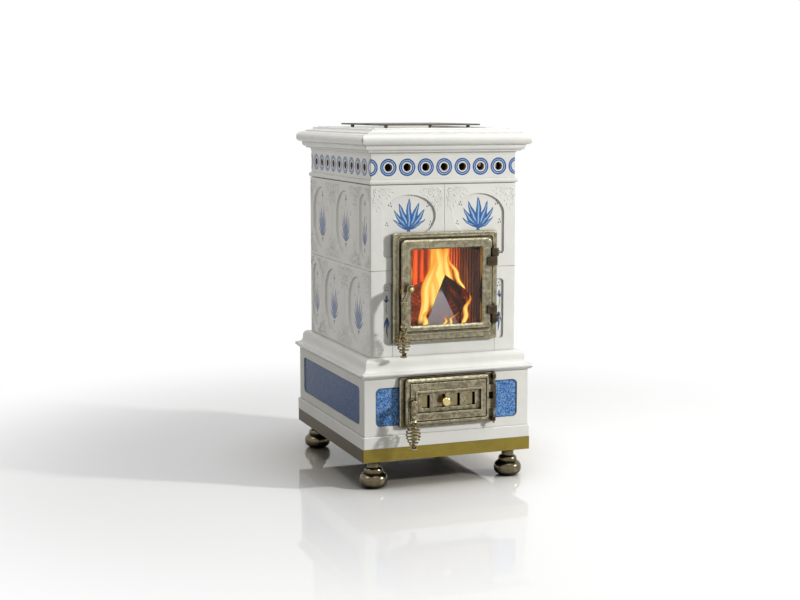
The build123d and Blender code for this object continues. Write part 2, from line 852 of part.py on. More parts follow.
# ---------------------------------------------------------------- crown
def crown_outline(half):
    """Half of the crown's outline, from the frieze up to the bull nose and the stepped top."""
    foot_line = Line((half - frieze_set_back, crown_level), (half - frieze_set_back + 1, crown_level + 3))
    cove = ThreePointArc(
        foot_line @ 1,
        (half - 1, crown_level + 7),
        (half + 4, crown_level + 8.5),
    )
    step = Polyline(
        cove @ 1,
        (half + 8.5, crown_level + 9),
        (half + 9, crown_level + 12.5),
    )
    ovolo = ThreePointArc(
        step @ 1,
        (half + 15.5, crown_level + 15.5),
        (half + 18, crown_level + 22),
    )
    fillet_band = Polyline(
        ovolo @ 1,
        (half + 18.3, crown_level + 26),
        (half + 22, crown_level + 27),
    )
    nose = ThreePointArc(
        fillet_band @ 1,
        (half + nose_stand_out, crown_level + 40),
        (half + 26, crown_level + 52),
    )
    slope = Polyline(
        nose @ 1,
        (half + 24.5, crown_level + 54),
        (half + 10, crown_level + 57),
        (half + 9.5, crown_level + 59.5),
        (half - 1, crown_level + 62),
    )
    rise = ThreePointArc(
        slope @ 1,
        (half - 6, crown_level + 63.5),
        (half - 8.5, crown_level + 68),
    )
    Polyline(
        rise @ 1,
        (half - 19, crown_level + 69),
        (half - 20.5, crown_top),
        (0, crown_top),
        (0, crown_level),
        foot_line @ 0,
    )


with BuildPart() as crown:
    mitred_solid(crown_outline, nose_corner_radius, nose_stand_out)
    box_between(
        (-half_width + crown_wall, -half_depth + crown_wall, crown_level),
        (half_width - crown_wall, half_depth - crown_wall, crown_top - crown_slab),
        mode=Mode.SUBTRACT,
    )
    box_between(
        (-half_width + crown_opening_inset, -half_depth + crown_opening_inset, crown_level),
        (half_width - crown_opening_inset, half_depth - crown_opening_inset, crown_top),
        mode=Mode.SUBTRACT,
    )
    part_the_corners(crown_level, crown_height)
save(crown, "crown")

# ---------------------------------------------------------------- firebox shell
# Welded from flat plates: ash chamber below, fire chamber above, a ledge between them.
flue_plane = Plane(origin=(0, shell_back, flue_level), x_dir=(-1, 0, 0), z_dir=(0, 1, 0))
flue_hole_radius = flue_bore_radius + flue_hole_margin
back_seam_level = flue_level - flue_flange_radius
chamber_left = -shell_half_width + shell_wall
chamber_right = shell_half_width - shell_wall
chamber_front = shell_front + shell_wall
chamber_back = shell_back - shell_wall
ledge_front = chamber_front + hearth_ledge
ledge_back = chamber_back - hearth_ledge
with BuildPart() as firebox_shell:
    box_between(
        (-shell_half_width, shell_front, shell_level),
        (shell_half_width, shell_back, shell_top),
    )
    chambers = (
        (shell_level, ash_floor_level),
        (ash_floor_level + shell_wall, hearth_level - shell_wall),
        (hearth_level, shell_top - shell_wall),
    )
    for chamber_floor, chamber_top in chambers:
        box_between(
            (chamber_left, chamber_front, chamber_floor),
            (chamber_right, chamber_back, chamber_top),
            mode=Mode.SUBTRACT,
        )
    box_between(
        (chamber_left + hearth_ledge, ledge_front, hearth_level - shell_wall),
        (chamber_right - hearth_ledge, ledge_back, hearth_level),
        mode=Mode.SUBTRACT,
    )
    doorways = ((frame_opening_bottom, frame_opening_top), (ash_opening_bottom, ash_opening_top))
    for doorway_bottom, doorway_top in doorways:
        box_between(
            (frame_opening_left, shell_front, doorway_bottom),
            (frame_opening_right, chamber_front, doorway_top),
            mode=Mode.SUBTRACT,
        )
    with BuildSketch(flue_plane):
        Circle(flue_hole_radius)
    extrude(amount=-shell_wall, mode=Mode.SUBTRACT)

    # the seams between the plates
    for seam_y in (chamber_front, chamber_back - weld_seam):
        box_between(
            (-shell_half_width, seam_y, shell_level),
            (shell_half_width, seam_y + weld_seam, shell_top),
            mode=Mode.SUBTRACT,
        )
    for seam_x in (chamber_left, chamber_right - weld_seam):
        box_between(
            (seam_x, chamber_front, shell_level),
            (seam_x + weld_seam, chamber_back, shell_top),
            mode=Mode.SUBTRACT,
        )
    for seam_x in (frame_opening_left - weld_seam, frame_opening_right):
        box_between(
            (seam_x, shell_front, shell_level),
            (seam_x + weld_seam, chamber_front, shell_top),
            mode=Mode.SUBTRACT,
        )
    for seam_y in (ledge_front, ledge_back - weld_seam):
        box_between(
            (chamber_left, seam_y, hearth_level - shell_wall),
            (chamber_right, seam_y + weld_seam, hearth_level),
            mode=Mode.SUBTRACT,
        )
    for seam_z in (back_seam_level, flue_level):
        box_between(
            (-shell_half_width, chamber_back, seam_z),
            (shell_half_width, shell_back, seam_z + weld_seam),
            mode=Mode.SUBTRACT,
        )
    box_between(
        (-weld_seam / 2, chamber_back, back_seam_level),
        (weld_seam / 2, shell_back, shell_top),
        mode=Mode.SUBTRACT,
    )
save(firebox_shell, "firebox_shell")

with BuildPart() as flue_collar:
    with BuildSketch(flue_plane):
        Circle(flue_flange_radius)
    extrude(amount=flue_flange_thickness)
    with BuildSketch(flue_plane):
        Circle(flue_outer_radius)
    extrude(amount=flue_end - shell_back)
    with BuildSketch(flue_plane):
        Circle(flue_bore_radius)
    extrude(amount=flue_end - shell_back, mode=Mode.SUBTRACT)
save(flue_collar, "flue_collar")

# ---------------------------------------------------------------- hearth plate and grate
hearth_top = hearth_level + hearth_thickness
with BuildPart() as hearth_plate:
    box_between(
        (chamber_left + part_gap, chamber_front + part_gap, hearth_level),
        (chamber_right - part_gap, chamber_back - part_gap, hearth_top),
    )
    seat_x = grate_width / 2 + part_gap
    seat_y = grate_length / 2 + part_gap
    box_between(
        (-seat_x, grate_centre_y - seat_y, hearth_level + hearth_thickness / 2),
        (seat_x, grate_centre_y + seat_y, hearth_top),
        mode=Mode.SUBTRACT,
    )
    box_between(
        (-seat_x + grate_ledge, grate_centre_y - seat_y + grate_ledge, hearth_level),
        (seat_x - grate_ledge, grate_centre_y + seat_y - grate_ledge, hearth_top),
        mode=Mode.SUBTRACT,
    )
save(hearth_plate, "hearth_plate")

with BuildPart() as grate:
    box_between(
        (-grate_width / 2, grate_centre_y - grate_length / 2, hearth_level + hearth_thickness / 2),
        (grate_width / 2, grate_centre_y + grate_length / 2, hearth_top),
    )
    slot_pitch = grate_bar + grate_slot
    slot_count = int((grate_width - 2 * grate_ledge - grate_bar) // slot_pitch)
    with BuildSketch(Plane.XY.offset(hearth_level)):
        with Locations((0, grate_centre_y)):
            with GridLocations(slot_pitch, slot_pitch, slot_count, 1):
                Rectangle(grate_slot, grate_length - 4 * grate_ledge)
    extrude(amount=hearth_thickness, mode=Mode.SUBTRACT)
save(grate, "grate")

# ---------------------------------------------------------------- firebricks
# Cast linings with upright flutes on the face that the fire sees.
brick_back_front = chamber_back - brick_thickness
with BuildPart() as firebrick_back:
    box_between(
        (chamber_left + part_gap, brick_back_front, hearth_top),
        (chamber_right - part_gap, chamber_back, brick_top),
    )
    back_flutes = int((chamber_right - chamber_left - 2 * brick_thickness - flute_pitch) // flute_pitch)
    with BuildSketch(Plane.XY.offset(hearth_top)):
        with Locations((0, brick_back_front)):
            with GridLocations(flute_pitch, flute_pitch, back_flutes, 1):
                Circle(flute_radius)
    extrude(amount=brick_top - hearth_top, mode=Mode.SUBTRACT)
save(firebrick_back, "firebrick_back")

side_brick_front = chamber_front + part_gap
side_flutes = int((brick_back_front - side_brick_front - flute_pitch) // flute_pitch)
for hand, x_sign in signs.items():
    outer = x_sign * (chamber_right - part_gap)
    inner = x_sign * (chamber_right - part_gap - brick_thickness)
    with BuildPart() as firebrick:
        box_between(
            (min(outer, inner), side_brick_front, hearth_top),
            (max(outer, inner), brick_back_front - part_gap, brick_top),
        )
        with BuildSketch(Plane.XY.offset(hearth_top)):
            with Locations((inner, (side_brick_front + brick_back_front) / 2)):
                with GridLocations(flute_pitch, flute_pitch, 1, side_flutes):
                    Circle(flute_radius)
        extrude(amount=brick_top - hearth_top, mode=Mode.SUBTRACT)
    save(firebrick, f"firebrick_{hand}")

# The baffle leans forward: its back edge lies on the back firebrick and its feet on the side ones.
with BuildPart() as baffle:
    with BuildSketch(Plane.YZ):
        with BuildLine():
            Polyline(
                (chamber_back - part_gap, brick_top),
                (chamber_back - part_gap, baffle_back_level + baffle_thickness),
                (baffle_front, baffle_front_level + baffle_thickness),
                (baffle_front, baffle_front_level),
                (chamber_back - 2 * brick_thickness, baffle_back_level),
                (chamber_back - 2 * brick_thickness, brick_top),
                close=True,
            )
        make_face()
    extrude(amount=chamber_right - part_gap, both=True)
save(baffle, "baffle")

# ---------------------------------------------------------------- ash pan
with BuildPart() as ash_pan:
    pan_floor = ash_floor_level + shell_wall
    pan_back = pan_front + pan_length
    box_between((pan_left, pan_front, pan_floor), (pan_right, pan_back, pan_floor + pan_height))
    box_between(
        (pan_left + pan_wall, pan_front + pan_wall, pan_floor + pan_wall),
        (pan_right - pan_wall, pan_back - pan_wall, pan_floor + pan_height),
        mode=Mode.SUBTRACT,
    )
    # the seams between its floor, its long sides and its ends
    box_between(
        (pan_left, pan_front, pan_floor + pan_wall - weld_seam),
        (pan_right, pan_back, pan_floor + pan_wall),
        mode=Mode.SUBTRACT,
    )
    for seam_x in (pan_left + pan_wall - weld_seam, pan_right - pan_wall):
        box_between(
            (seam_x, pan_front, pan_floor + pan_wall),
            (seam_x + weld_seam, pan_back, pan_floor + pan_height),
            mode=Mode.SUBTRACT,
        )
    pan_middle = (pan_left + pan_right) / 2
    pan_tab_level = pan_floor + pan_height - pan_tab_height
    box_between(
        (pan_middle - pan_tab_width / 2, pan_front - pan_tab_length, pan_tab_level),
        (pan_middle + pan_tab_width / 2, pan_front, pan_tab_level + pan_wall),
    )
save(ash_pan, "ash_pan")

# ---------------------------------------------------------------- top frame and top plate
# The top frame stands on the shell inside the crown; the loose plate stands on the frame.
frame_x = half_width - crown_wall - top_frame_gap
frame_y = half_depth - crown_wall - top_frame_gap
top_frame_top = top_frame_level + top_frame_thickness
with BuildPart() as top_frame:
    box_between((-frame_x, -frame_y, top_frame_level), (frame_x, frame_y, top_frame_top))
    top_slot_length = frame_x - 1.5 * top_slot_margin
    with BuildSketch(Plane.XY.offset(top_frame_level)):
        with GridLocations(top_slot_length + top_slot_margin, top_slot_pitch, 2, top_slot_count):
            SlotOverall(top_slot_length, top_slot_width)
    extrude(amount=top_frame_thickness, mode=Mode.SUBTRACT)
    leg_x = shell_half_width - top_frame_leg
    leg_back = shell_back - top_frame_leg
    leg_front = shell_front + top_frame_leg
    for x in (-leg_x, leg_x):
        for y in (leg_front, leg_back):
            box_between(
                (x - top_frame_leg / 2, y - top_frame_leg / 2, shell_top),
                (x + top_frame_leg / 2, y + top_frame_leg / 2, top_frame_level),
            )
save(top_frame, "top_frame")

with BuildPart() as top_plate:
    with BuildSketch(Plane.XY.offset(plate_level)):
        RectangleRounded(plate_width, plate_length, plate_corner)
    extrude(amount=plate_thickness)
    with BuildSketch(Plane.XY.offset(top_frame_top)):
        with GridLocations(plate_width - 2 * plate_foot_inset, plate_length - 2 * plate_foot_inset, 2, 2):
            Circle(plate_foot_radius)
    extrude(amount=plate_level - top_frame_top)
save(top_plate, "top_plate")

# ---------------------------------------------------------------- fire door frame
# One casting: a flange on the tiles, a neck through them to the shell, and two hinge lugs.
set_screw_heights = [sum(lug) / 2 for lug in (upper_lug, lower_lug)]
pin_plane = Plane(origin=(hinge_x, hinge_y, 0), x_dir=(1, 0, 0), z_dir=(0, 0, 1))


def hinge_barrel(span, barrel_radius, bore_radius, plane):
    """One knuckle of a hinge round the pin, bored for it."""
    low, high = span
    with BuildSketch(plane.offset(low)) as barrel:
        Circle(barrel_radius)
    extrude(barrel.sketch, amount=high - low)
    with BuildSketch(plane.offset(low)) as bore:
        Circle(bore_radius)
    extrude(bore.sketch, amount=high - low, mode=Mode.SUBTRACT)


def frame_bead():
    """The bead on the flange, down both sides of the leaf and over it, clear of the hinges."""
    bead_half_width = frame_half_width - frame_bead_inset
    bead_foot = leaf_bottom + leaf_bead_bottom
    bead_top = frame_top - frame_top_bead_inset
    rectangle_between(-bead_half_width, bead_half_width, bead_foot, bead_top, frame_bead_corner)
    rectangle_between(
        -bead_half_width + frame_bead_width,
        bead_half_width - frame_bead_width,
        bead_foot - frame_bead_corner,
        bead_top - frame_bead_width,
        frame_bead_corner - frame_bead_width,
        mode=Mode.SUBTRACT,
    )
    for low, high in ((lower_lug[0], lower_knuckle[1]), (upper_knuckle[0], upper_lug[1])):
        rectangle_between(
            0, frame_half_width, low - frame_bead_break, high + frame_bead_break, mode=Mode.SUBTRACT
        )


with BuildPart() as door_frame:
    with BuildSketch(front_plane(-half_depth)):
        rectangle_between(-frame_half_width, frame_half_width, frame_bottom, frame_top, frame_corner)
    extrude(amount=frame_thickness)
    chamfer(door_frame.faces().sort_by(Axis.Y)[0].edges(), frame_edge_chamfer)
    with BuildSketch(front_plane(frame_front)):
        frame_bead()
    extrude(amount=frame_bead_height)
    box_between(
        (-frame_neck_half_width, -half_depth, frame_neck_bottom),
        (frame_neck_half_width, shell_front, frame_neck_top),
    )
    box_between(
        (frame_opening_left, frame_front, frame_opening_bottom),
        (frame_opening_right, shell_front, frame_opening_top),
        mode=Mode.SUBTRACT,
    )
    box_between(
        (frame_opening_left - latch_notch_depth, frame_front, handle_z - latch_notch_half_height),
        (frame_opening_left, shell_front - shell_wall, handle_z + latch_notch_half_height),
        mode=Mode.SUBTRACT,
    )
    for lug in (upper_lug, lower_lug):
        box_between((hinge_block_inner, hinge_y, lug[0]), (frame_half_width, frame_front, lug[1]))
        hinge_barrel(lug, hinge_barrel_radius, hinge_pin_radius + seat_clearance, pin_plane)
    for height in set_screw_heights:
        with BuildSketch(Plane(origin=(hinge_x, hinge_y, height), x_dir=(0, 1, 0), z_dir=(1, 0, 0))):
            Circle(set_screw_radius + seat_clearance)
        extrude(amount=frame_half_width - hinge_x, mode=Mode.SUBTRACT)
save(door_frame, "door_frame")

with BuildPart() as hinge_pins:
    upper_pin_low = upper_lug[0] - pin_engagement
    lower_pin_high = lower_lug[1] + pin_engagement
    for low, high in ((upper_pin_low, upper_lug[1]), (lower_lug[0], lower_pin_high)):
        with BuildSketch(pin_plane.offset(low)):
            Circle(hinge_pin_radius)
        extrude(amount=high - low)
    for level in (upper_lug[1], lower_lug[0] - pin_head_height):
        with BuildSketch(pin_plane.offset(level)):
            Circle(pin_head_radius)
        extrude(amount=pin_head_height)
save(hinge_pins, "hinge_pins")

with BuildPart() as hinge_set_screws:
    for height in set_screw_heights:
        tip = Plane(
            origin=(hinge_x + hinge_pin_radius, hinge_y, height), x_dir=(0, 1, 0), z_dir=(1, 0, 0)
        )
        with BuildSketch(tip):
            Circle(set_screw_radius)
        extrude(amount=frame_half_width - hinge_x - hinge_pin_radius)
        with BuildSketch(tip.offset(frame_half_width - hinge_x - hinge_pin_radius)):
            Circle(set_screw_head_radius)
        extrude(amount=set_screw_head_length)
save(hinge_set_screws, "hinge_set_screws")

# ---------------------------------------------------------------- fire door leaf
glass_half_width = window_half_width + glass_overlap
glass_bottom = window_bottom - glass_overlap
glass_top = window_top + glass_overlap
rebate_half_width = glass_half_width + glass_clearance
rebate_bottom = glass_bottom - glass_clearance
rebate_top = glass_top + glass_clearance
rebate_depth = glass_thickness + gasket_thickness
rope_left = -leaf_half_width + rope_edge
rope_right = leaf_half_width - rope_hinge_edge
rope_bottom = leaf_bottom + rope_edge
rope_top = leaf_top - rope_edge
shaft_plane = Plane(origin=(handle_x, 0, handle_z), x_dir=(1, 0, 0), z_dir=(0, -1, 0))


def rope_ring():
    """The rope seal's path, as a rectangular ring in the open sketch."""
    rectangle_between(rope_left, rope_right, rope_bottom, rope_top, leaf_corner)
    rectangle_between(
        rope_left + rope_width,
        rope_right - rope_width,
        rope_bottom + rope_width,
        rope_top - rope_width,
        leaf_corner - rope_width,
        mode=Mode.SUBTRACT,
    )


def clip_screw_places():
    """Where the four clip screws stand on the leaf, as X and Z."""
    low = rebate_bottom - clip_reach / 2
    high = rebate_top + clip_reach / 2
    return [(-clip_x, low), (clip_x, low), (-clip_x, high), (clip_x, high)]


with BuildPart() as door_leaf:
    with BuildSketch(front_plane(leaf_back)):
        rectangle_between(-leaf_half_width, leaf_half_width, leaf_bottom, leaf_top, leaf_corner)
    extrude(amount=leaf_thickness - leaf_rail_drop)
    with BuildSketch(front_plane(leaf_front + leaf_rail_drop)):
        rectangle_between(
            -leaf_half_width, leaf_half_width, leaf_bottom + leaf_rail_height, leaf_top, leaf_corner
        )
    extrude(amount=leaf_rail_drop)
    chamfer(door_leaf.faces().sort_by(Axis.Y)[0].edges(), leaf_edge_chamfer)
    with BuildSketch(front_plane(leaf_front + leaf_rail_drop)):
        rectangle_between(
            -leaf_half_width + leaf_bead_inset,
            leaf_half_width - leaf_bead_inset,
            leaf_bottom + leaf_bead_bottom,
            leaf_bottom + leaf_bead_bottom + leaf_bead_width,
        )
    extrude(amount=leaf_bead_height, taper=leaf_bead_taper)
    with BuildSketch(front_plane(leaf_back)):
        rectangle_between(-window_half_width, window_half_width, window_bottom, window_top, window_corner)
    extrude(amount=leaf_back - leaf_front, mode=Mode.SUBTRACT)
    with BuildSketch(front_plane(leaf_front + window_moulding)):
        rectangle_between(-window_half_width, window_half_width, window_bottom, window_top, window_corner)
    extrude(amount=window_moulding, taper=-45, mode=Mode.SUBTRACT)
    with BuildSketch(front_plane(leaf_back)):
        rectangle_between(-rebate_half_width, rebate_half_width, rebate_bottom, rebate_top)
    extrude(amount=rebate_depth, mode=Mode.SUBTRACT)
    with BuildSketch(front_plane(leaf_back)):
        rope_ring()
    extrude(amount=rope_depth, mode=Mode.SUBTRACT)
    with BuildSketch(shaft_plane.offset(-leaf_front)):
        Circle(handle_boss_radius)
    extrude(amount=handle_boss_height)
    with BuildSketch(shaft_plane.offset(-leaf_back)):
        Circle(handle_shaft_radius + shaft_clearance)
    extrude(amount=leaf_back - leaf_front + handle_boss_height, mode=Mode.SUBTRACT)
    with BuildSketch(front_plane(leaf_back)):
        with Locations(*clip_screw_places()):
            Circle(clip_screw_radius + seat_clearance)
    extrude(amount=clip_screw_length, mode=Mode.SUBTRACT)
    for lug in (upper_lug, lower_lug):
        box_between(
            (leaf_half_width - hinge_notch, leaf_front, lug[0] - part_gap),
            (leaf_half_width, leaf_back, lug[1] + part_gap),
            mode=Mode.SUBTRACT,
        )
    for knuckle in (upper_knuckle, lower_knuckle):
        box_between(
            (hinge_strap_inner, hinge_y - hinge_barrel_radius, knuckle[0]),
            (hinge_x, leaf_front + leaf_edge_chamfer, knuckle[1]),
        )
        hinge_barrel(knuckle, hinge_barrel_radius, hinge_pin_radius + shaft_clearance, pin_plane)
save(door_leaf, "door_leaf")

with BuildPart() as door_gasket:
    with BuildSketch(front_plane(leaf_back)):
        rope_ring()
    extrude(amount=rope_depth)
save(door_gasket, "door_gasket")

glass_back = leaf_back
glass_front = glass_back - glass_thickness
with BuildPart() as glass_gasket:
    with BuildSketch(front_plane(glass_front)):
        rectangle_between(-glass_half_width, glass_half_width, glass_bottom, glass_top)
        rectangle_between(
            -window_half_width,
            window_half_width,
            window_bottom,
            window_top,
            window_corner,
            mode=Mode.SUBTRACT,
        )
    extrude(amount=gasket_thickness)
save(glass_gasket, "glass_gasket")

with BuildPart() as door_glass:
    box_between(
        (-glass_half_width, glass_front, glass_bottom),
        (glass_half_width, glass_back, glass_top),
    )
save(door_glass, "door_glass")

with BuildPart() as glass_clips:
    with BuildSketch(front_plane(leaf_back + clip_thickness)):
        for x in (-clip_x, clip_x):
            rectangle_between(
                x - clip_width / 2,
                x + clip_width / 2,
                rebate_bottom - clip_reach,
                rebate_bottom - clip_reach + clip_length,
            )
            rectangle_between(
                x - clip_width / 2,
                x + clip_width / 2,
                rebate_top + clip_reach - clip_length,
                rebate_top + clip_reach,
            )
        with Locations(*clip_screw_places()):
            Circle(clip_screw_radius + seat_clearance, mode=Mode.SUBTRACT)
    extrude(amount=clip_thickness)
save(glass_clips, "glass_clips")

with BuildPart() as clip_screws:
    with BuildSketch(front_plane(leaf_back + clip_thickness)):
        with Locations(*clip_screw_places()):
            Circle(clip_screw_radius)
    extrude(amount=clip_thickness + clip_screw_length)
    with BuildSketch(front_plane(leaf_back + clip_thickness + clip_screw_head_height)):
        with Locations(*clip_screw_places()):
            Circle(clip_screw_head_radius)
    extrude(amount=clip_screw_head_height)
save(clip_screws, "clip_screws")


# ---------------------------------------------------------------- handles
def grip_radius(share, end_radius, full_radius, peak):
    """The coil's radius at a share of its length: a pear shape, widest at the peak."""
    if share < peak:
        swell = math.sin(math.pi / 2 * share / peak)
    else:
        swell = math.cos(math.pi / 2 * (share - peak) / (1 - peak))
    return end_radius + (full_radius - end_radius) * swell


def grip_path(axis_x, axis_y, top, length, turns, full_radius, peak):
    """The wire's middle line: round and round the core, with both ends square to the caps."""
    bend = 2 * wire_radius
    stub = 2 * wire_radius
    start_z = top - stub - bend
    drop = length - 2 * (stub + bend)
    quarters = 4 * turns
    points = []
    for index in range(quarters + 1):
        share = index / quarters
        radius = grip_radius(share, grip_end_radius, full_radius, peak)
        around = Vector(radius, 0, 0).rotate(Axis.Z, 90 * index)
        points.append(Vector(axis_x, axis_y, start_z - drop * share) + around)
    tangents = [Vector(0, 1, 0)]
    for before, after in zip(points[:-2], points[2:]):
        tangents.append((after - before).normalized())
    tangents.append(Vector(0, 1, 0))
    with BuildLine() as path:
        first = points[0] - tangents[0] * bend + Vector(0, 0, bend)
        Line(first + Vector(0, 0, stub), first)
        TangentArc(first, points[0], tangent=(0, 0, -1))
        for index in range(quarters):
            biarc(points[index], tangents[index], points[index + 1], tangents[index + 1])
        last = points[-1] + tangents[-1] * bend - Vector(0, 0, bend)
        TangentArc(points[-1], last, tangent=tangents[-1])
        Line(last, last - Vector(0, 0, stub))
    return path.wires()[0]


def wind_wire(path):
    """Sweep the wire along its middle line, in the open part."""
    with BuildSketch(Plane(origin=path @ 0, z_dir=path % 0)) as section:
        Circle(wire_radius)
    sweep(section.sketch, path=path)


def biarc(start, start_way, end, end_way):
    """Two arcs that leave one point and reach the next along the given directions."""
    chord = end - start
    both_ways = start_way + end_way
    along = chord.dot(both_ways)
    spread = 2 * (1 - start_way.dot(end_way))
    reach = (math.sqrt(along * along + spread * chord.dot(chord)) - along) / spread
    meeting = (start + start_way * reach + end - end_way * reach) * 0.5
    TangentArc(start, meeting, tangent=start_way)
    TangentArc(meeting, end, tangent=(end - end_way * reach - meeting))


def print_coil_gap(name, path, turns):
    """Measure the least gap between one turn and the next, on points along the wire."""
    steps_per_turn = 48
    steps = steps_per_turn * turns
    points = [path @ (index / steps) for index in range(steps + 1)]
    least = min(
        (points[a] - points[b]).length
        for a in range(len(points))
        for b in range(a + steps_per_turn // 2, len(points))
    )
    print(f"{name}: least gap between turns {least - 2 * wire_radius:.2f} mm")


def lever(shaft, hub, arm, ferrule, rod_x, grip_top, grip_length):
    """A forged handle in the open part: shaft, hub, arm, ferrule, rod, and its grip's core."""
    shaft_x, shaft_z, shaft_back = shaft
    hub_seat, hub_radius = hub
    arm_y, arm_thickness = arm
    ferrule_z, ferrule_radius, ferrule_height = ferrule
    arm_front = arm_y - arm_thickness / 2
    with BuildSketch(front_plane(shaft_back)) as shaft_end:
        with Locations((shaft_x, shaft_z)):
            Circle(handle_shaft_radius)
    extrude(shaft_end.sketch, amount=shaft_back - hub_seat)
    with BuildSketch(front_plane(hub_seat)) as hub_end:
        with Locations((shaft_x, shaft_z)):
            Circle(hub_radius)
    extrude(hub_end.sketch, amount=hub_seat - arm_front)
    with BuildSketch(front_plane(arm_y + arm_thickness / 2)) as arm_face:
        with Locations((shaft_x, shaft_z)):
            Circle(arm_half_width)
        with Locations((rod_x, ferrule_z)):
            Circle(arm_half_width)
        make_hull()
    extrude(arm_face.sketch, amount=arm_thickness)
    rod_plane = Plane(origin=(rod_x, arm_y, 0), x_dir=(1, 0, 0), z_dir=(0, 0, 1))
    grip_bottom = grip_top - grip_length
    for low, high, radius in (
        (ferrule_z - ferrule_height / 2, ferrule_z + ferrule_height / 2, ferrule_radius),
        (grip_top, ferrule_z, handle_rod_radius),
        (grip_bottom, grip_top, core_radius),
    ):
        with BuildSketch(rod_plane.offset(low)) as round_end:
            Circle(radius)
        extrude(round_end.sketch, amount=high - low)
    for level, way in ((grip_top, 1), (grip_bottom, -1)):
        with BuildSketch(rod_plane.offset(level)) as cap:
            Circle(grip_cap_radius)
        extrude(cap.sketch, amount=way * grip_cap_height, taper=grip_cap_taper)


def latch_cam(shaft_x, shaft_z, back, reach):
    """The tongue on the inner end of a handle's shaft, in the open part."""
    with BuildSketch(front_plane(back)) as tongue:
        with Locations((shaft_x, shaft_z)):
            Circle(cam_boss_radius)
        rectangle_between(shaft_x - reach, shaft_x, shaft_z - cam_half_width, shaft_z + cam_half_width)
        with Locations((shaft_x, shaft_z)):
            Circle(handle_shaft_radius + seat_clearance, mode=Mode.SUBTRACT)
    extrude(tongue.sketch, amount=cam_thickness)


hub_seat = leaf_front - handle_boss_height - part_gap
cam_back = leaf_back + part_gap + cam_thickness
with BuildPart() as door_handle:
    lever(
        shaft=(handle_x, handle_z, cam_back),
        hub=(hub_seat, handle_hub_radius),
        arm=(handle_arm_y, handle_arm_thickness),
        ferrule=(handle_ferrule_z, handle_ferrule_radius, handle_ferrule_height),
        rod_x=handle_rod_x,
        grip_top=door_grip_top,
        grip_length=door_grip_length,
    )
save(door_handle, "door_handle")

door_grip_path = grip_path(
    handle_rod_x,
    handle_arm_y,
    door_grip_top,
    door_grip_length,
    door_grip_turns,
    door_grip_radius,
    door_grip_peak,
)
with BuildPart() as door_handle_grip:
    wind_wire(door_grip_path)
print_coil_gap("door_handle_grip", door_grip_path, door_grip_turns)
save(door_handle_grip, "door_handle_grip")

nut_plane = shaft_plane.offset(-(handle_arm_y - handle_arm_thickness / 2))
with BuildPart() as door_handle_nut:
    with BuildSketch(nut_plane):
        RegularPolygon(nut_radius, 6)
    extrude(amount=nut_height)
    with BuildSketch(nut_plane.offset(nut_height)):
        Circle(nut_dome_radius)
    extrude(amount=nut_dome_radius)
    fillet(door_handle_nut.faces().sort_by(Axis.Y)[0].edges(), nut_dome_fillet)
save(door_handle_nut, "door_handle_nut")

with BuildPart() as door_latch_cam:
    latch_cam(handle_x, handle_z, cam_back, cam_reach)
save(door_latch_cam, "door_latch_cam")

# ---------------------------------------------------------------- ash door frame
ash_pin_plane = Plane(origin=(ash_hinge_x, ash_hinge_y, 0), x_dir=(1, 0, 0), z_dir=(0, 0, 1))
with BuildPart() as ash_door_frame:
    with BuildSketch(front_plane(-base_face)):
        rectangle_between(
            ash_frame_left, ash_frame_right, ash_frame_bottom, ash_frame_top, ash_frame_corner
        )
    extrude(amount=ash_frame_proud)
    chamfer(ash_door_frame.faces().sort_by(Axis.Y)[0].edges(), ash_frame_chamfer)
    box_between(
        (ash_neck_left, -base_face, ash_neck_bottom),
        (ash_neck_right, shell_front, ash_neck_top),
    )
    box_between(
        (ash_opening_left, ash_frame_front, ash_opening_bottom),
        (ash_opening_right, shell_front, ash_opening_top),
        mode=Mode.SUBTRACT,
    )
    box_between(
        (
            ash_opening_left - ash_notch_depth,
            ash_frame_front,
            ash_handle_z - ash_notch_half_height,
        ),
        (ash_opening_left, shell_front - shell_wall, ash_handle_z + ash_notch_half_height),
        mode=Mode.SUBTRACT,
    )
    for lug in ash_lugs:
        box_between(
            (ash_hinge_x - ash_barrel_radius, ash_hinge_y, lug[0]),
            (ash_hinge_x + ash_barrel_radius, ash_frame_front, lug[1]),
        )
        hinge_barrel(lug, ash_barrel_radius, ash_pin_radius + seat_clearance, ash_pin_plane)
save(ash_door_frame, "ash_door_frame")

with BuildPart() as ash_hinge_pin:
    with BuildSketch(ash_pin_plane.offset(ash_pin_bottom)):
        Circle(ash_pin_radius)
    extrude(amount=ash_pin_top - ash_pin_bottom)
save(ash_hinge_pin, "ash_hinge_pin")

# ---------------------------------------------------------------- ash door leaf and air slide
guide_front = ash_leaf_back - slide_lip_thickness - slide_thickness - 2 * part_gap
lip_front = ash_leaf_back - slide_lip_thickness
first_bar = air_window_first - slide_bar / 2 + slide_rest_shift
slide_span = slide_bar + (air_window_count - 1) * air_window_pitch
slide_end = first_bar + slide_span
slot_left = stem_x - slide_left - stem_radius - part_gap
slot_right = stem_x + slide_right + stem_radius + part_gap

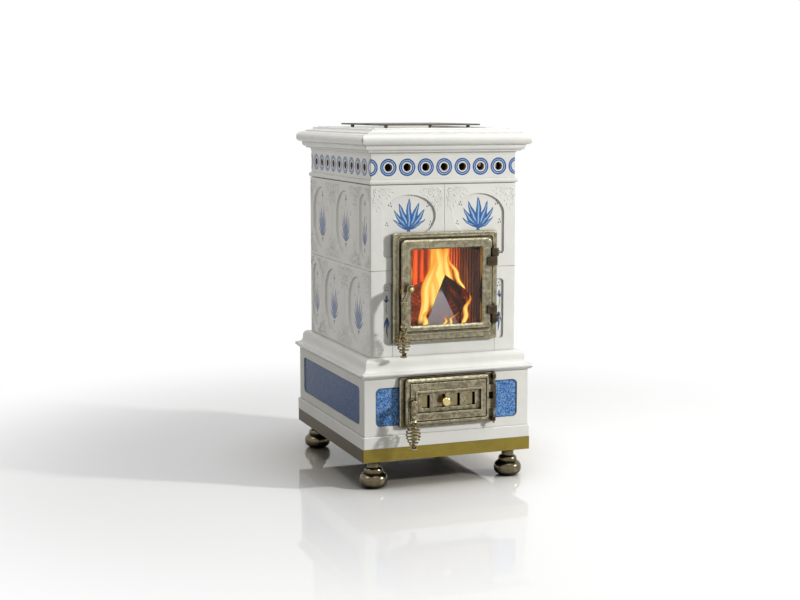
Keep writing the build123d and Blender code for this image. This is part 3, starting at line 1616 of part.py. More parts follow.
with BuildPart() as ash_door_leaf:
    with BuildSketch(front_plane(ash_leaf_back)):
        rectangle_between(
            ash_leaf_left, ash_leaf_right, ash_leaf_bottom, ash_leaf_top, ash_leaf_corner
        )
    extrude(amount=ash_leaf_thickness)
    chamfer(ash_door_leaf.faces().sort_by(Axis.Y)[0].edges(), ash_leaf_chamfer)
    with BuildSketch(front_plane(ash_leaf_front)):
        rectangle_between(
            ash_leaf_left + ash_groove_inset,
            ash_leaf_right - ash_groove_inset,
            ash_leaf_bottom + ash_groove_inset,
            ash_leaf_top - ash_groove_inset,
            ash_groove_width,
        )
        rectangle_between(
            ash_leaf_left + ash_groove_inset + ash_groove_width,
            ash_leaf_right - ash_groove_inset - ash_groove_width,
            ash_leaf_bottom + ash_groove_inset + ash_groove_width,
            ash_leaf_top - ash_groove_inset - ash_groove_width,
            mode=Mode.SUBTRACT,
        )
    extrude(amount=-ash_groove_depth, mode=Mode.SUBTRACT)
    with BuildSketch(front_plane(ash_leaf_front)):
        rectangle_between(
            ash_panel_left - ash_bead_width,
            ash_panel_right + ash_bead_width,
            ash_panel_bottom - ash_bead_width,
            ash_panel_top + ash_bead_width,
            ash_bead_width,
        )
    extrude(amount=ash_bead_height)
    with BuildSketch(front_plane(ash_leaf_front - ash_bead_height)):
        rectangle_between(ash_panel_left, ash_panel_right, ash_panel_bottom, ash_panel_top)
    extrude(amount=-ash_panel_depth - ash_bead_height, mode=Mode.SUBTRACT)
    with BuildSketch(front_plane(ash_leaf_back)):
        for index in range(air_window_count):
            with Locations((air_window_first + index * air_window_pitch, air_window_middle)):
                Rectangle(air_window_width, air_window_height)
        with Locations(((slot_left + slot_right) / 2, air_window_middle)):
            SlotOverall(slot_right - slot_left, 2 * (stem_radius + part_gap))
    extrude(amount=ash_leaf_thickness, mode=Mode.SUBTRACT)
    box_between(
        (first_bar - slide_left - part_gap, guide_front, air_window_middle - slide_height / 2 - part_gap),
        (slide_end + slide_right + part_gap, lip_front, air_window_middle + slide_height / 2 + part_gap),
        mode=Mode.SUBTRACT,
    )
    box_between(
        (
            first_bar - slide_left - part_gap,
            lip_front,
            air_window_middle - slide_height / 2 + slide_guide_lip,
        ),
        (
            slide_end + slide_right + part_gap,
            ash_leaf_back,
            air_window_middle + slide_height / 2 - slide_guide_lip,
        ),
        mode=Mode.SUBTRACT,
    )
    ash_shaft_plane = Plane(origin=(ash_handle_x, 0, ash_handle_z), x_dir=(1, 0, 0), z_dir=(0, -1, 0))
    with BuildSketch(ash_shaft_plane.offset(-ash_leaf_front)):
        Circle(ash_boss_radius)
    extrude(amount=handle_boss_height)
    with BuildSketch(ash_shaft_plane.offset(-ash_leaf_back)):
        Circle(handle_shaft_radius + shaft_clearance)
    extrude(amount=ash_leaf_thickness + handle_boss_height, mode=Mode.SUBTRACT)
    for knuckle in ash_knuckles:
        box_between(
            (ash_leaf_right - 10, ash_hinge_y - ash_barrel_radius, knuckle[0]),
            (ash_hinge_x, ash_hinge_y + ash_barrel_radius, knuckle[1]),
        )
        hinge_barrel(knuckle, ash_barrel_radius, ash_pin_radius + shaft_clearance, ash_pin_plane)
save(ash_door_leaf, "ash_door_leaf")

slide_front = guide_front + part_gap
with BuildPart() as air_slide:
    box_between(
        (first_bar, slide_front, air_window_middle - slide_height / 2),
        (slide_end, slide_front + slide_thickness, air_window_middle + slide_height / 2),
    )
    for index in range(air_window_count - 1):
        opening_left = first_bar + slide_bar + index * air_window_pitch
        opening_right = first_bar + (index + 1) * air_window_pitch
        box_between(
            (opening_left, slide_front, air_window_middle - slide_slot_height / 2),
            (opening_right, slide_front + slide_thickness, air_window_middle + slide_slot_height / 2),
            mode=Mode.SUBTRACT,
        )
        if opening_left < stem_x < opening_right:
            box_between(
                (opening_left, slide_front, air_window_middle - slide_tab_height / 2),
                (opening_right, slide_front + slide_thickness, air_window_middle + slide_tab_height / 2),
            )
save(air_slide, "air_slide")

knob_seat = ash_leaf_front - ash_bead_height - knob_gap
stem_plane = Plane(origin=(stem_x, 0, air_window_middle), x_dir=(1, 0, 0), z_dir=(0, -1, 0))
with BuildPart() as air_knob:
    with BuildSketch(stem_plane.offset(-slide_front)):
        Circle(stem_radius)
    extrude(amount=slide_front - knob_seat)
    with BuildSketch(stem_plane.offset(-knob_seat)):
        Circle(knob_radius)
    extrude(amount=knob_length)
    fillet(air_knob.faces().sort_by(Axis.Y)[0].edges(), knob_fillet)
save(air_knob, "air_knob")

# ---------------------------------------------------------------- ash door handle
ash_hub_seat = ash_leaf_front - handle_boss_height - part_gap
ash_cam_back = ash_leaf_back + part_gap + cam_thickness
with BuildPart() as ash_handle:
    lever(
        shaft=(ash_handle_x, ash_handle_z, ash_cam_back),
        hub=(ash_hub_seat, ash_hub_radius),
        arm=(ash_arm_y, ash_arm_thickness),
        ferrule=(ash_ferrule_z, ash_ferrule_radius, handle_ferrule_height),
        rod_x=ash_rod_x,
        grip_top=ash_grip_top,
        grip_length=ash_grip_length,
    )
save(ash_handle, "ash_handle")

ash_grip_path = grip_path(
    ash_rod_x,
    ash_arm_y,
    ash_grip_top,
    ash_grip_length,
    ash_grip_turns,
    ash_grip_radius,
    ash_grip_peak,
)
with BuildPart() as ash_handle_grip:
    wind_wire(ash_grip_path)
print_coil_gap("ash_handle_grip", ash_grip_path, ash_grip_turns)
save(ash_handle_grip, "ash_handle_grip")

with BuildPart() as ash_latch_cam:
    latch_cam(ash_handle_x, ash_handle_z, ash_cam_back, ash_cam_reach)
save(ash_latch_cam, "ash_latch_cam")
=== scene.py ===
import bpy
import bmesh
import math
import random
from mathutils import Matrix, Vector


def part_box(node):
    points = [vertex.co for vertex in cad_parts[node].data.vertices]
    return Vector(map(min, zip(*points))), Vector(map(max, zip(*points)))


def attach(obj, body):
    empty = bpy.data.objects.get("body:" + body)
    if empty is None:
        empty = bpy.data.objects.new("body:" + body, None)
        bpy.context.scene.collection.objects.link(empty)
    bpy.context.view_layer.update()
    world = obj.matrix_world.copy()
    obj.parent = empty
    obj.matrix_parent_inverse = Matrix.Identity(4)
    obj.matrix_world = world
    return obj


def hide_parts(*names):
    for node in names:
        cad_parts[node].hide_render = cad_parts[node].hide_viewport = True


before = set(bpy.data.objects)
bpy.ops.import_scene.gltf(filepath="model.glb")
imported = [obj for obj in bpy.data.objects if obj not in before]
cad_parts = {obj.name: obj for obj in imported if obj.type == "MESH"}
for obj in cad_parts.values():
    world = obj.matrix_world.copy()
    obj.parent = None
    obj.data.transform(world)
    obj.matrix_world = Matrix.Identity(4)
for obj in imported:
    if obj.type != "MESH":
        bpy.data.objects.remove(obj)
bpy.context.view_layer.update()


# ------------------------------ studio
# A white, lightly polished floor with a white world behind it. A lamp on the right throws the
# shadows of the handles to the left, a wide one shines from above, and a weak one on the left side.

def feed(tree, made, feeds):
    """Feed a node's inputs with values or with the outputs of other nodes."""
    for socket, value in feeds.items():
        if isinstance(value, bpy.types.NodeSocket):
            tree.links.new(value, made.inputs[socket])
        else:
            made.inputs[socket].default_value = value


def node(tree, kind, feeds=None, **settings):
    """Add a shader node, set its properties and feed its inputs."""
    made = tree.nodes.new("ShaderNode" + kind)
    for name, value in settings.items():
        setattr(made, name, value)
    feed(tree, made, feeds or {})
    return made


def maths(tree, operation, *terms):
    """One step of arithmetic on numbers or outputs."""
    return node(tree, "Math", dict(enumerate(terms)), operation=operation).outputs[0]


def minus(tree, value, taken):
    """What is left of a value."""
    return maths(tree, "SUBTRACT", value, taken)


def scaled(tree, value, scale, start):
    """A start with a scaled value added."""
    return maths(tree, "MULTIPLY_ADD", value, scale, start)


def times(tree, *factors):
    """The product of numbers or outputs."""
    product = factors[0]
    for factor in factors[1:]:
        product = maths(tree, "MULTIPLY", product, factor)
    return product


def ramp(tree, value, low, high):
    """0 below low, 1 above high, smooth between them."""
    feeds = {"Value": value, "From Min": low, "From Max": high}
    return node(tree, "MapRange", feeds, interpolation_type="SMOOTHSTEP").outputs["Result"]


def fall(tree, value, low, high):
    """1 below low, 0 above high, smooth between them."""
    return minus(tree, 1.0, ramp(tree, value, low, high))


def blend(tree, share, below, above, most=None):
    """Lay one colour over another by a share between 0 and 1, or by that share of the most."""
    if most:
        share = times(tree, share, most)
    return node(tree, "Mix", {0: share, 6: below, 7: above}, data_type="RGBA").outputs[2]


def own_place(tree):
    """Where a point of the surface lies in the axes of its own piece, in metres."""
    return node(tree, "TexCoord").outputs["Object"]


def hollows(tree, reach, low, high, samples=6):
    """1 deep in corners and hollows and 0 in the open, by what stands within this reach."""
    open_air = node(tree, "AmbientOcclusion", {"Distance": reach}, samples=samples).outputs["AO"]
    return ramp(tree, minus(tree, 1.0, open_air), low, high)


def new_material(name):
    """A material with its tree and its shader."""
    material = bpy.data.materials.new(name)
    material.use_nodes = True
    return material, material.node_tree, material.node_tree.nodes["Principled BSDF"]


def put(name, data):
    """Put a mesh, a lamp or a camera into the scene under this name."""
    thing = bpy.data.objects.new(name, data)
    bpy.context.scene.collection.objects.link(thing)
    return thing


def new_piece(name, shape, material, smooth=True):
    """Make a piece of this material from a bmesh, which is then finished with."""
    mesh = bpy.data.meshes.new(name)
    shape.to_mesh(mesh)
    shape.free()
    mesh.polygons.foreach_set("use_smooth", [smooth] * len(mesh.polygons))
    mesh.materials.append(material)
    return put(name, mesh)


def what_is_seen(tree):
    """1 for a ray from the camera, off a gloss or through glass, 0 for the light that falls on things."""
    ray = node(tree, "LightPath").outputs
    bent = maths(tree, "MAXIMUM", ray["Is Glossy Ray"], ray["Is Transmission Ray"])
    return maths(tree, "MAXIMUM", ray["Is Camera Ray"], bent)


floor_material, tree, shader = new_material("studio_floor")
floor_white, floor_light = (0.96, 0.96, 0.955, 1), (0.33, 0.318, 0.30, 1)  # as seen, and as it throws light
painted_warm_shade, painted_dark_shade = (0.58, 0.48, 0.31, 1), (0.080, 0.062, 0.034, 1)
stove_middle, floor_reach = (0.0, 0.1, 0.0), 14.0
away = node(tree, "VectorMath", {0: own_place(tree), 1: stove_middle}, operation="DISTANCE").outputs["Value"]
seen = what_is_seen(tree)
colour = blend(tree, seen, floor_light, floor_white)
# Painted shade: the floor is tinted warm and darker near the stove, and darkened nearly to black under it,
# where the stove's shadow falls.
colour = blend(tree, fall(tree, away, 0.25, 0.56), colour, painted_warm_shade, 0.5)
colour = blend(tree, hollows(tree, 0.20, 0.45, 0.95, samples=8), colour, painted_dark_shade, 0.9)
feed(tree, shader, {"Base Color": colour, "Roughness": 0.55,
                    "Coat Weight": 0.75, "Coat Roughness": 0.035, "Coat IOR": 1.45})
white = node(tree, "Emission", {"Color": (1, 1, 1, 1), "Strength": 1.0})
share = times(tree, ramp(tree, away, 0.7, 1.7), seen)
fade = node(tree, "MixShader", {0: share, 1: shader.outputs[0], 2: white.outputs[0]})
feed(tree, tree.nodes["Material Output"], {"Surface": fade.outputs[0]})
slab = bmesh.new()
bmesh.ops.create_grid(slab, x_segments=1, y_segments=1, size=floor_reach)
floor = new_piece("studio_floor", slab, floor_material)

world = bpy.data.worlds.new("studio_world")
world.use_nodes = True
bpy.context.scene.world = world
tree = world.node_tree
world_light = 0.12
strength = scaled(tree, what_is_seen(tree), 1 - world_light, world_light)
feed(tree, tree.nodes["Background"], {"Color": (1, 1, 1, 1), "Strength": strength})


def lamp(name, place, aim, size, power, colour):
    """A soft square lamp that looks at a point."""
    light = bpy.data.lights.new(name, "AREA")
    light.size = size
    light.energy = power
    light.color = colour
    stand = put(name, light)
    stand.location = place
    stand.rotation_euler = (Vector(aim) - Vector(place)).to_track_quat("-Z", "Y").to_euler()
    return stand


lamp("key_lamp", place=(3.05, -2.35, 1.75), aim=(0.0, -0.1, 0.5), size=0.26, power=146.0,
     colour=(1.0, 0.995, 0.975))
lamp("top_lamp", place=(0.4, -0.6, 4.2), aim=(0.2, -0.2, 0.0), size=3.0, power=90.0, colour=(1.0, 1.0, 1.0))
left_lamp = lamp("left_lamp", place=(-1.65, -0.25, 1.55), aim=(-0.2, 0.0, 0.8), size=0.7, power=6.5,
                 colour=(1.0, 0.955, 0.87))
off_floor = bpy.data.collections.new("all_but_the_floor")
off_floor.objects.link(floor)
off_floor.collection_objects[0].light_linking.link_state = "EXCLUDE"
left_lamp.light_linking.receiver_collection = off_floor

camera = bpy.data.cameras.new("studio_camera")
camera.lens = 65.3
camera.sensor_width = 36.0
tripod = put("studio_camera", camera)
tripod.location = (-1.472, -3.822, 1.0087)
downward, rightward = 7.56, 20.71  # degrees
tripod.rotation_euler = (math.radians(90 - downward), 0.0, math.radians(-rightward))
bpy.context.scene.camera = tripod
bpy.context.scene.view_settings.view_transform = "Standard"


# ------------------------------ feet
# Four bun feet, turned in brass and darkened to bronze, screwed up through the base frame.
# The neck and the foot of each bun are darkened by what stands near them, so the widest part stays brighter.

def effect(name, takes, gives):
    """A new shader node group with these inputs, and their values, and these outputs."""
    tree = bpy.data.node_groups.new(name, "ShaderNodeTree")
    kinds = {1: "NodeSocketFloat", 3: "NodeSocketVector", 4: "NodeSocketColor"}
    for socket, value in takes.items():
        kind = kinds[len(value) if isinstance(value, tuple) else 1]
        tree.interface.new_socket(name=socket, in_out="INPUT", socket_type=kind).default_value = value
    for socket, kind in gives.items():
        tree.interface.new_socket(name=socket, in_out="OUTPUT", socket_type="NodeSocket" + kind)
    return tree, tree.nodes.new("NodeGroupInput").outputs, tree.nodes.new("NodeGroupOutput")


def use(tree, group, **values):
    """Place a group in a material; an input name has an underscore for each space."""
    feeds = {name.replace("_", " "): value for name, value in values.items()}
    return node(tree, "Group", feeds, node_tree=group).outputs


def speckle(tree, place, scale, detail=4.0, roughness=0.55, stretch=None):
    """Noise between 0 and 1, with its scale in features per metre."""
    if stretch:
        place = node(tree, "VectorMath", {0: place, 1: stretch}, operation="MULTIPLY").outputs[0]
    feeds = {"Vector": place, "Scale": scale, "Detail": detail, "Roughness": roughness}
    return node(tree, "TexNoise", feeds).outputs[0]


def axes_of(tree, place):
    """The X, Y and Z of a place."""
    return node(tree, "SeparateXYZ", {0: place}).outputs


def above(tree, value, limit):
    """1 above a limit, else 0."""
    return maths(tree, "GREATER_THAN", value, limit)


def below(tree, value, limit):
    """1 below a limit, else 0."""
    return maths(tree, "LESS_THAN", value, limit)


def textured(tree, shader, height, relief, round_edge=None):
    """Bump the surface by a height, in steps of relief, over edges that look rounded, in metres."""
    feeds = {"Height": height, "Distance": relief}
    if round_edge:
        feeds["Normal"] = node(tree, "Bevel", {"Radius": round_edge}, samples=4).outputs[0]
    feed(tree, shader, {"Normal": node(tree, "Bump", feeds).outputs[0]})


# Aged brass: bright where it is rubbed along its edges, brown in its corners and in cloudy patches.
aged_brass, takes, gives = effect(
    "aged_brass",
    {"Bright": (0.5, 0.4, 0.2, 1), "Dull": (0.3, 0.24, 0.12, 1), "Dirt": (0.05, 0.04, 0.02, 1),
     "Edge Width": 0.0008, "Corner Reach": 0.006, "Polish": 0.3},
    {"Color": "Color", "Roughness": "Float", "Height": "Float"},
)
tree = aged_brass
place = own_place(tree)
round_normal = node(tree, "Bevel", {"Radius": takes["Edge Width"]}, samples=4).outputs[0]
flat_normal = node(tree, "NewGeometry").outputs["Normal"]
turned = node(tree, "VectorMath", {0: round_normal, 1: flat_normal}, operation="DOT_PRODUCT").outputs["Value"]
edge = ramp(tree, minus(tree, 1.0, turned), 0.02, 0.22)
corner = hollows(tree, takes["Corner Reach"], 0.06, 0.5)
patches = 0.3
cloud = times(tree, ramp(tree, speckle(tree, place, 95.0, 5.0, 0.7), 0.36, 0.66), patches)
fine = speckle(tree, place, 420.0, 3.0, 0.6)
pits = speckle(tree, place, 1500.0, 2.0, 0.5)
colour = blend(tree, cloud, takes["Dull"], takes["Bright"])
colour = blend(tree, ramp(tree, fine, 0.5, 0.75), colour, takes["Dirt"], 0.35)
rubbed = times(tree, edge, minus(tree, 1.0, corner))
colour = blend(tree, rubbed, colour, takes["Bright"], 0.95)
colour = blend(tree, corner, colour, takes["Dirt"], 0.92)
rough = scaled(tree, fine, 0.16, takes["Polish"])
rough = scaled(tree, corner, 0.25, rough)
rough = scaled(tree, cloud, -0.07, rough)
height = maths(tree, "ADD", times(tree, fine, 0.6), times(tree, pits, 0.4))
feed(tree, gives, {"Color": colour, "Roughness": rough, "Height": height})


def brass(name, bright, dull, dirt, polish, relief, edge_width, corner_reach, hinges=()):
    """A material of aged brass. Hinges stay much darker: each is right of X, before Y, from bottom to top."""
    material, tree, shader = new_material(name)
    if hinges:
        axes = axes_of(tree, own_place(tree))
        dark = 0.0
        for right_of, before, bottom, top in hinges:
            level = times(tree, above(tree, axes["Z"], bottom), below(tree, axes["Z"], top))
            side = times(tree, above(tree, axes["X"], right_of), below(tree, axes["Y"], before))
            dark = maths(tree, "MAXIMUM", dark, times(tree, level, side))
        bright = blend(tree, dark, bright, (0.20, 0.155, 0.095, 1))
        dull = blend(tree, dark, dull, (0.045, 0.034, 0.022, 1))
    made = use(tree, aged_brass, Bright=bright, Dull=dull, Dirt=dirt, Polish=polish,
               Edge_Width=edge_width, Corner_Reach=corner_reach)
    feed(tree, shader, {"Base Color": made["Color"], "Roughness": made["Roughness"], "Metallic": 1.0})
    textured(tree, shader, made["Height"], relief, edge_width)
    return material


def dress(material, *names):
    """Give these CAD nodes their material."""
    for name in names:
        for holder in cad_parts[name].material_slots:
            holder.material = material


foot_bronze = brass(
    "foot_bronze", bright=(0.27, 0.23, 0.15, 1), dull=(0.12, 0.098, 0.062, 1), dirt=(0.012, 0.009, 0.005, 1),
    polish=0.13, relief=0.00003, edge_width=0.0008, corner_reach=0.016)
dress(foot_bronze, "foot_front_left", "foot_front_right", "foot_back_left", "foot_back_right")


# ------------------------------ base frame and brass band
# A folded tray of black sheet carries everything. A strip of brass is bent round it, brushed
# lengthwise to a satin face, stained in places and gone a little green.
sheet_steel, tree, shader = new_material("sheet_steel")
place = own_place(tree)
skin = speckle(tree, place, 900.0, 3.0)
scale_black, worn_black = (0.018, 0.018, 0.018, 1), (0.045, 0.042, 0.04, 1)
feed(tree, shader, {"Base Color": blend(tree, speckle(tree, place, 14.0), scale_black, worn_black),
                    "Roughness": scaled(tree, skin, 0.2, 0.5)})
textured(tree, shader, skin, 0.0001)
dress(sheet_steel, "base_frame", "firebox_shell", "top_frame", "ash_pan")

band_brass, tree, shader = new_material("band_brass")
place = own_place(tree)
brushed = speckle(tree, place, 60.0, 6.0, 0.7, (1.0, 1.0, 42.0))
stain = ramp(tree, speckle(tree, place, 17.0, 5.0, 0.6), 0.45, 0.75)
lines = ramp(tree, brushed, 0.3, 0.7)
dark_line, bright_line = (0.205, 0.155, 0.022, 1), (0.29, 0.222, 0.040, 1)
stain_brown, painted_shade_brown = (0.14, 0.11, 0.028, 1), (0.055, 0.040, 0.010, 1)
colour = blend(tree, lines, dark_line, bright_line)
colour = blend(tree, stain, colour, stain_brown, 0.5)
band_end = 0.2416  # past this the strip has turned onto the left or right side
# Painted shade: the left and right sides of the band are darker and more metallic, so they look shaded.
painted_band_side_shade = above(tree, maths(tree, "ABSOLUTE", axes_of(tree, place)["X"]), band_end)
colour = blend(tree, painted_band_side_shade, colour, painted_shade_brown)
feed(tree, shader, {"Base Color": colour, "Roughness": scaled(tree, lines, -0.1, 0.42),
                    "Metallic": scaled(tree, painted_band_side_shade, 0.45, 0.45),
                    "Specular IOR Level": 0.25})
textured(tree, shader, brushed, 0.00008, 0.0006)
dress(band_brass, "brass_band")


# ------------------------------ white glaze: skirt, mouldings, crown
# Cast ceramic lengths under a thick, glossy white glaze, which pools grey in the hollows, darkened there
# further as painted shade, and leaves the surface very slightly wavy. Inside, and in the joints, the buff
# clay is bare.
body_half_width, body_half_depth = 0.210, 0.2625
no_top = 2.0  # higher than the stove

glaze_coat, takes, gives = effect(
    "glaze_coat",
    {"Seed": 0.0, "Clay X": 0.0, "Clay Y": 0.0, "Clay Top": no_top},
    {"Color": "Color", "Roughness": "Float", "Height": "Float"},
)
tree = glaze_coat
here = own_place(tree)
place = node(tree, "VectorMath", {0: here, 1: takes["Seed"]}, operation="ADD").outputs[0]
cloud = speckle(tree, place, 11.0, 4.0)
wave = speckle(tree, place, 38.0, 2.0)
orange_peel = speckle(tree, place, 330.0, 2.0)
pinholes = node(tree, "TexVoronoi", {"Vector": place, "Scale": 85.0}).outputs["Distance"]
thin_white, thick_white = (0.765, 0.768, 0.735, 1), (0.81, 0.81, 0.772, 1)
pool_and_shade_grey, speck_grey = (0.36, 0.365, 0.34, 1), (0.42, 0.40, 0.36, 1)
dark_clay, pale_clay = (0.30, 0.20, 0.115, 1), (0.44, 0.31, 0.19, 1)
pool_and_shade_reach = 0.012
colour = blend(tree, ramp(tree, cloud, 0.3, 0.7), thin_white, thick_white)
# Grey in the hollows: partly glaze pooled thick, partly painted shade.
colour = blend(tree, hollows(tree, pool_and_shade_reach, 0.12, 0.75), colour, pool_and_shade_grey, 0.72)
speck = fall(tree, pinholes, 0.035, 0.07)
colour = blend(tree, speck, colour, speck_grey, 0.35)
axes = axes_of(tree, here)
clay = times(tree, below(tree, maths(tree, "ABSOLUTE", axes["X"]), takes["Clay X"]),
             below(tree, maths(tree, "ABSOLUTE", axes["Y"]), takes["Clay Y"]),
             below(tree, axes["Z"], takes["Clay Top"]))
buff = blend(tree, speckle(tree, place, 300.0), dark_clay, pale_clay)
gloss = scaled(tree, cloud, 0.10, 0.16)
height = scaled(tree, wave, 0.8, times(tree, orange_peel, 0.12))
feed(tree, gives, {"Color": blend(tree, clay, colour, buff),
                   "Roughness": scaled(tree, clay, 0.6, gloss),
                   "Height": scaled(tree, speck, -0.1, height)})


def glaze(name, seed, bare_behind=0.015, bare_below=no_top, painting=None, round_edge=0.0014, shine=0.25):
    """White glaze, with bare clay further in than bare_behind the body's faces and lower than bare_below.

    A painting takes the tree and the colour so far, and gives the colour back.
    """
    material, tree, shader = new_material(name)
    coat = use(tree, glaze_coat, Seed=seed, Clay_X=body_half_width - bare_behind,
               Clay_Y=body_half_depth - bare_behind, Clay_Top=bare_below)
    colour = painting(tree, coat["Color"]) if painting else coat["Color"]
    feed(tree, shader, {"Base Color": colour, "Roughness": coat["Roughness"], "Specular IOR Level": shine,
                        "Coat Weight": shine * 0.24, "Coat Roughness": 0.05})
    textured(tree, shader, coat["Height"], 0.0007, round_edge)
    return material


dress(glaze("white_glaze_skirt", 3.0, -0.0115), "skirt")
dress(glaze("white_glaze_moulding", 5.0), "plinth_moulding")
dress(glaze("white_glaze_crown", 8.0, 0.0215, 0.942), "crown")
dress(glaze("white_glaze_strip", 9.0), "lower_strip_front")
dress(glaze("white_glaze_back", 10.0), "upper_tile_back")


# ------------------------------ base panels
# Four slabs with a sunk field each. The field is dabbed with a sponge in cobalt over white, which leaves
# close blue flecks, with a firmer line of blue round the rim. The fields on the left and right are darkened
# as painted shade.
field_bottom, field_top, field_corner = 0.171, 0.275, 0.014
panel_face = 0.023  # a panel is painted where it stands further out of the body's face than this
half_lengths = {"front": 0.205, "back": 0.205, "left": 0.2515, "right": 0.2515}
# Painted shade: the share by which the left and right fields are darkened.
painted_panel_side_shade = {"front": 0.0, "back": 0.0, "left": 0.65, "right": 0.65}
thick_blue, thin_blue = (0.030, 0.135, 0.40, 1), (0.055, 0.20, 0.52, 1)
fleck_blue, deep_blue = (0.30, 0.49, 0.76, 1), (0.012, 0.06, 0.25, 1)
rim_blue, painted_shade_blue = (0.010, 0.045, 0.17, 1), (0.006, 0.035, 0.15, 1)
body_sides = {  # the axis along each side, the axis out of it with its sign, and where the body's face lies
    "front": ("X", "Y", -1, body_half_depth), "back": ("X", "Y", 1, body_half_depth),
    "left": ("Y", "X", -1, body_half_width), "right": ("Y", "X", 1, body_half_width),
}


def facing(tree, axes, side, past):
    """1 where this side lies further out of the body's face than this."""
    _, outward, sign, face = body_sides[side]
    return above(tree, times(tree, axes[outward], sign), face + past)


def distance(tree, across, up):
    """How far a point lies from the middle of a drawing."""
    squares = [maths(tree, "POWER", way, 2.0) for way in (across, up)]
    return maths(tree, "SQRT", maths(tree, "ADD", *squares))


def wander(tree, value, noise, width):
    """Let a drawn line wander by a noise, over this width."""
    return scaled(tree, minus(tree, noise, 0.5), width, value)


def sponged_field(side):
    """The painting of one base panel."""
    def paint(tree, colour):
        place = own_place(tree)
        axes = axes_of(tree, place)
        ragged = speckle(tree, place, 230.0, 2.0, 0.5)
        along = maths(tree, "ABSOLUTE", axes[body_sides[side][0]])
        up = maths(tree, "ABSOLUTE", minus(tree, axes["Z"], (field_bottom + field_top) / 2))
        past_x = maths(tree, "MAXIMUM", minus(tree, along, half_lengths[side] - field_corner), 0.0)
        past_z = maths(tree, "MAXIMUM", minus(tree, up, (field_top - field_bottom) / 2 - field_corner), 0.0)
        reach = wander(tree, distance(tree, past_x, past_z), ragged, 0.0012)
        field = fall(tree, reach, field_corner - 0.0012, field_corner - 0.0002)
        field = times(tree, field, facing(tree, axes, side, panel_face))
        rim = ramp(tree, reach, field_corner - 0.0050, field_corner - 0.0012)
        fine = speckle(tree, place, 430.0, 2.0, 0.5, (1.0, 1.0, 0.8))
        broad = speckle(tree, place, 60.0, 4.0, 0.6)
        fleck = ramp(tree, scaled(tree, broad, 0.25, fine), 0.58, 0.70)
        deep = ramp(tree, scaled(tree, broad, -0.25, fine), 0.38, 0.24)
        blue = blend(tree, broad, thick_blue, thin_blue)
        blue = blend(tree, fleck, blue, fleck_blue, 0.75)
        blue = blend(tree, deep, blue, deep_blue, 0.7)
        blue = blend(tree, rim, blue, rim_blue, 0.85)
        # painted shade on the left and right fields
        blue = blend(tree, painted_panel_side_shade[side], blue, painted_shade_blue)
        return blend(tree, field, colour, blue)
    return paint


for number, side in enumerate(body_sides):
    panel_glaze = glaze(f"blue_field_{side}", 21.0 + number, -0.0225, painting=sponged_field(side),
                        round_edge=0.001, shine=0.06)
    dress(panel_glaze, f"base_panel_{side}")


# ------------------------------ body tiles
# Each tile is painted by hand before glazing: a fan of long leaves in cobalt, a bud on a
# stem and small dabs. No two are quite alike, and the brush leaves pale streaks in the blue.
brush_leaf, takes, gives = effect(
    "brush_leaf",
    {"Place": (0.0, 0.0, 0.0), "Root X": 0.0, "Root Y": 0.0, "Lean": 0.0,
     "Length": 40.0, "Width": 8.0, "Bend": 0.0},
    {"Mask": "Float", "Tone": "Float"},
)
tree = brush_leaf
root = node(tree, "CombineXYZ", {0: takes["Root X"], 1: takes["Root Y"], 2: 0.0}).outputs[0]
moved = node(tree, "VectorMath", {0: takes["Place"], 1: root}, operation="SUBTRACT").outputs[0]
leaned = {"Vector": moved, "Angle": takes["Lean"]}
turned = node(tree, "VectorRotate", leaned, rotation_type="Z_AXIS").outputs[0]
axes = axes_of(tree, turned)
run = maths(tree, "DIVIDE", axes["Y"], takes["Length"])
inside = maths(tree, "MINIMUM", maths(tree, "MAXIMUM", run, 0.0), 1.0)
bowed = times(tree, takes["Bend"], times(tree, inside, inside))
across = maths(tree, "ABSOLUTE", minus(tree, axes["X"], bowed))
to_tip = minus(tree, 1.0, inside)
swell = times(tree, maths(tree, "POWER", inside, 0.62), maths(tree, "POWER", to_tip, 0.85))
half = times(tree, swell, 1.02, takes["Width"])
spare = minus(tree, half, across)
mask = ramp(tree, spare, -0.1, 0.35)
ends = times(tree, above(tree, run, 0.0), below(tree, run, 1.0))
rib = maths(tree, "DIVIDE", across, maths(tree, "MAXIMUM", half, 0.4))
pale_rib = fall(tree, rib, 0.05, 0.45)
inner = fall(tree, rib, 0.62, 0.92)
tone = scaled(tree, pale_rib, 0.5, times(tree, inner, 0.5))
broad = ramp(tree, half, 1.3, 3.8)
feed(tree, gives, {"Mask": times(tree, mask, ends), "Tone": times(tree, tone, broad)})


def motif(name, strokes):
    """A group that paints strokes one over another: root x, root y, lean, length, width and bend, in mm."""
    tree, takes, gives = effect(name, {"Place": (0.0, 0.0, 0.0)}, {"Mask": "Float", "Tone": "Float"})
    mask, tone = 0.0, 0.0
    for x, y, lean, length, width, bend in strokes:
        leaf = use(tree, brush_leaf, Place=takes["Place"], Root_X=x, Root_Y=y, Lean=math.radians(lean),
                   Length=length, Width=width, Bend=bend)
        if isinstance(mask, float):
            mask, tone = leaf["Mask"], leaf["Tone"]
            continue
        tone = node(tree, "Mix", {0: leaf["Mask"], 2: tone, 3: leaf["Tone"]}).outputs[0]
        mask = maths(tree, "MAXIMUM", mask, leaf["Mask"])
    feed(tree, gives, {"Mask": mask, "Tone": tone})
    return tree


def mirrored(strokes):
    """The same strokes on the other side of the upright line."""
    return [(-x, y, -lean, length, width, -bend) for x, y, lean, length, width, bend in strokes]


def dabs(x, y, size=5.0):
    """Three small dabs of the brush, set in a triangle."""
    return [(x + right, y + up, lean, size, 4.2, 0)
            for right, up, lean in ((0, 0, 20), (6.5, 1.5, 5), (2.5, 7.5, 12))]


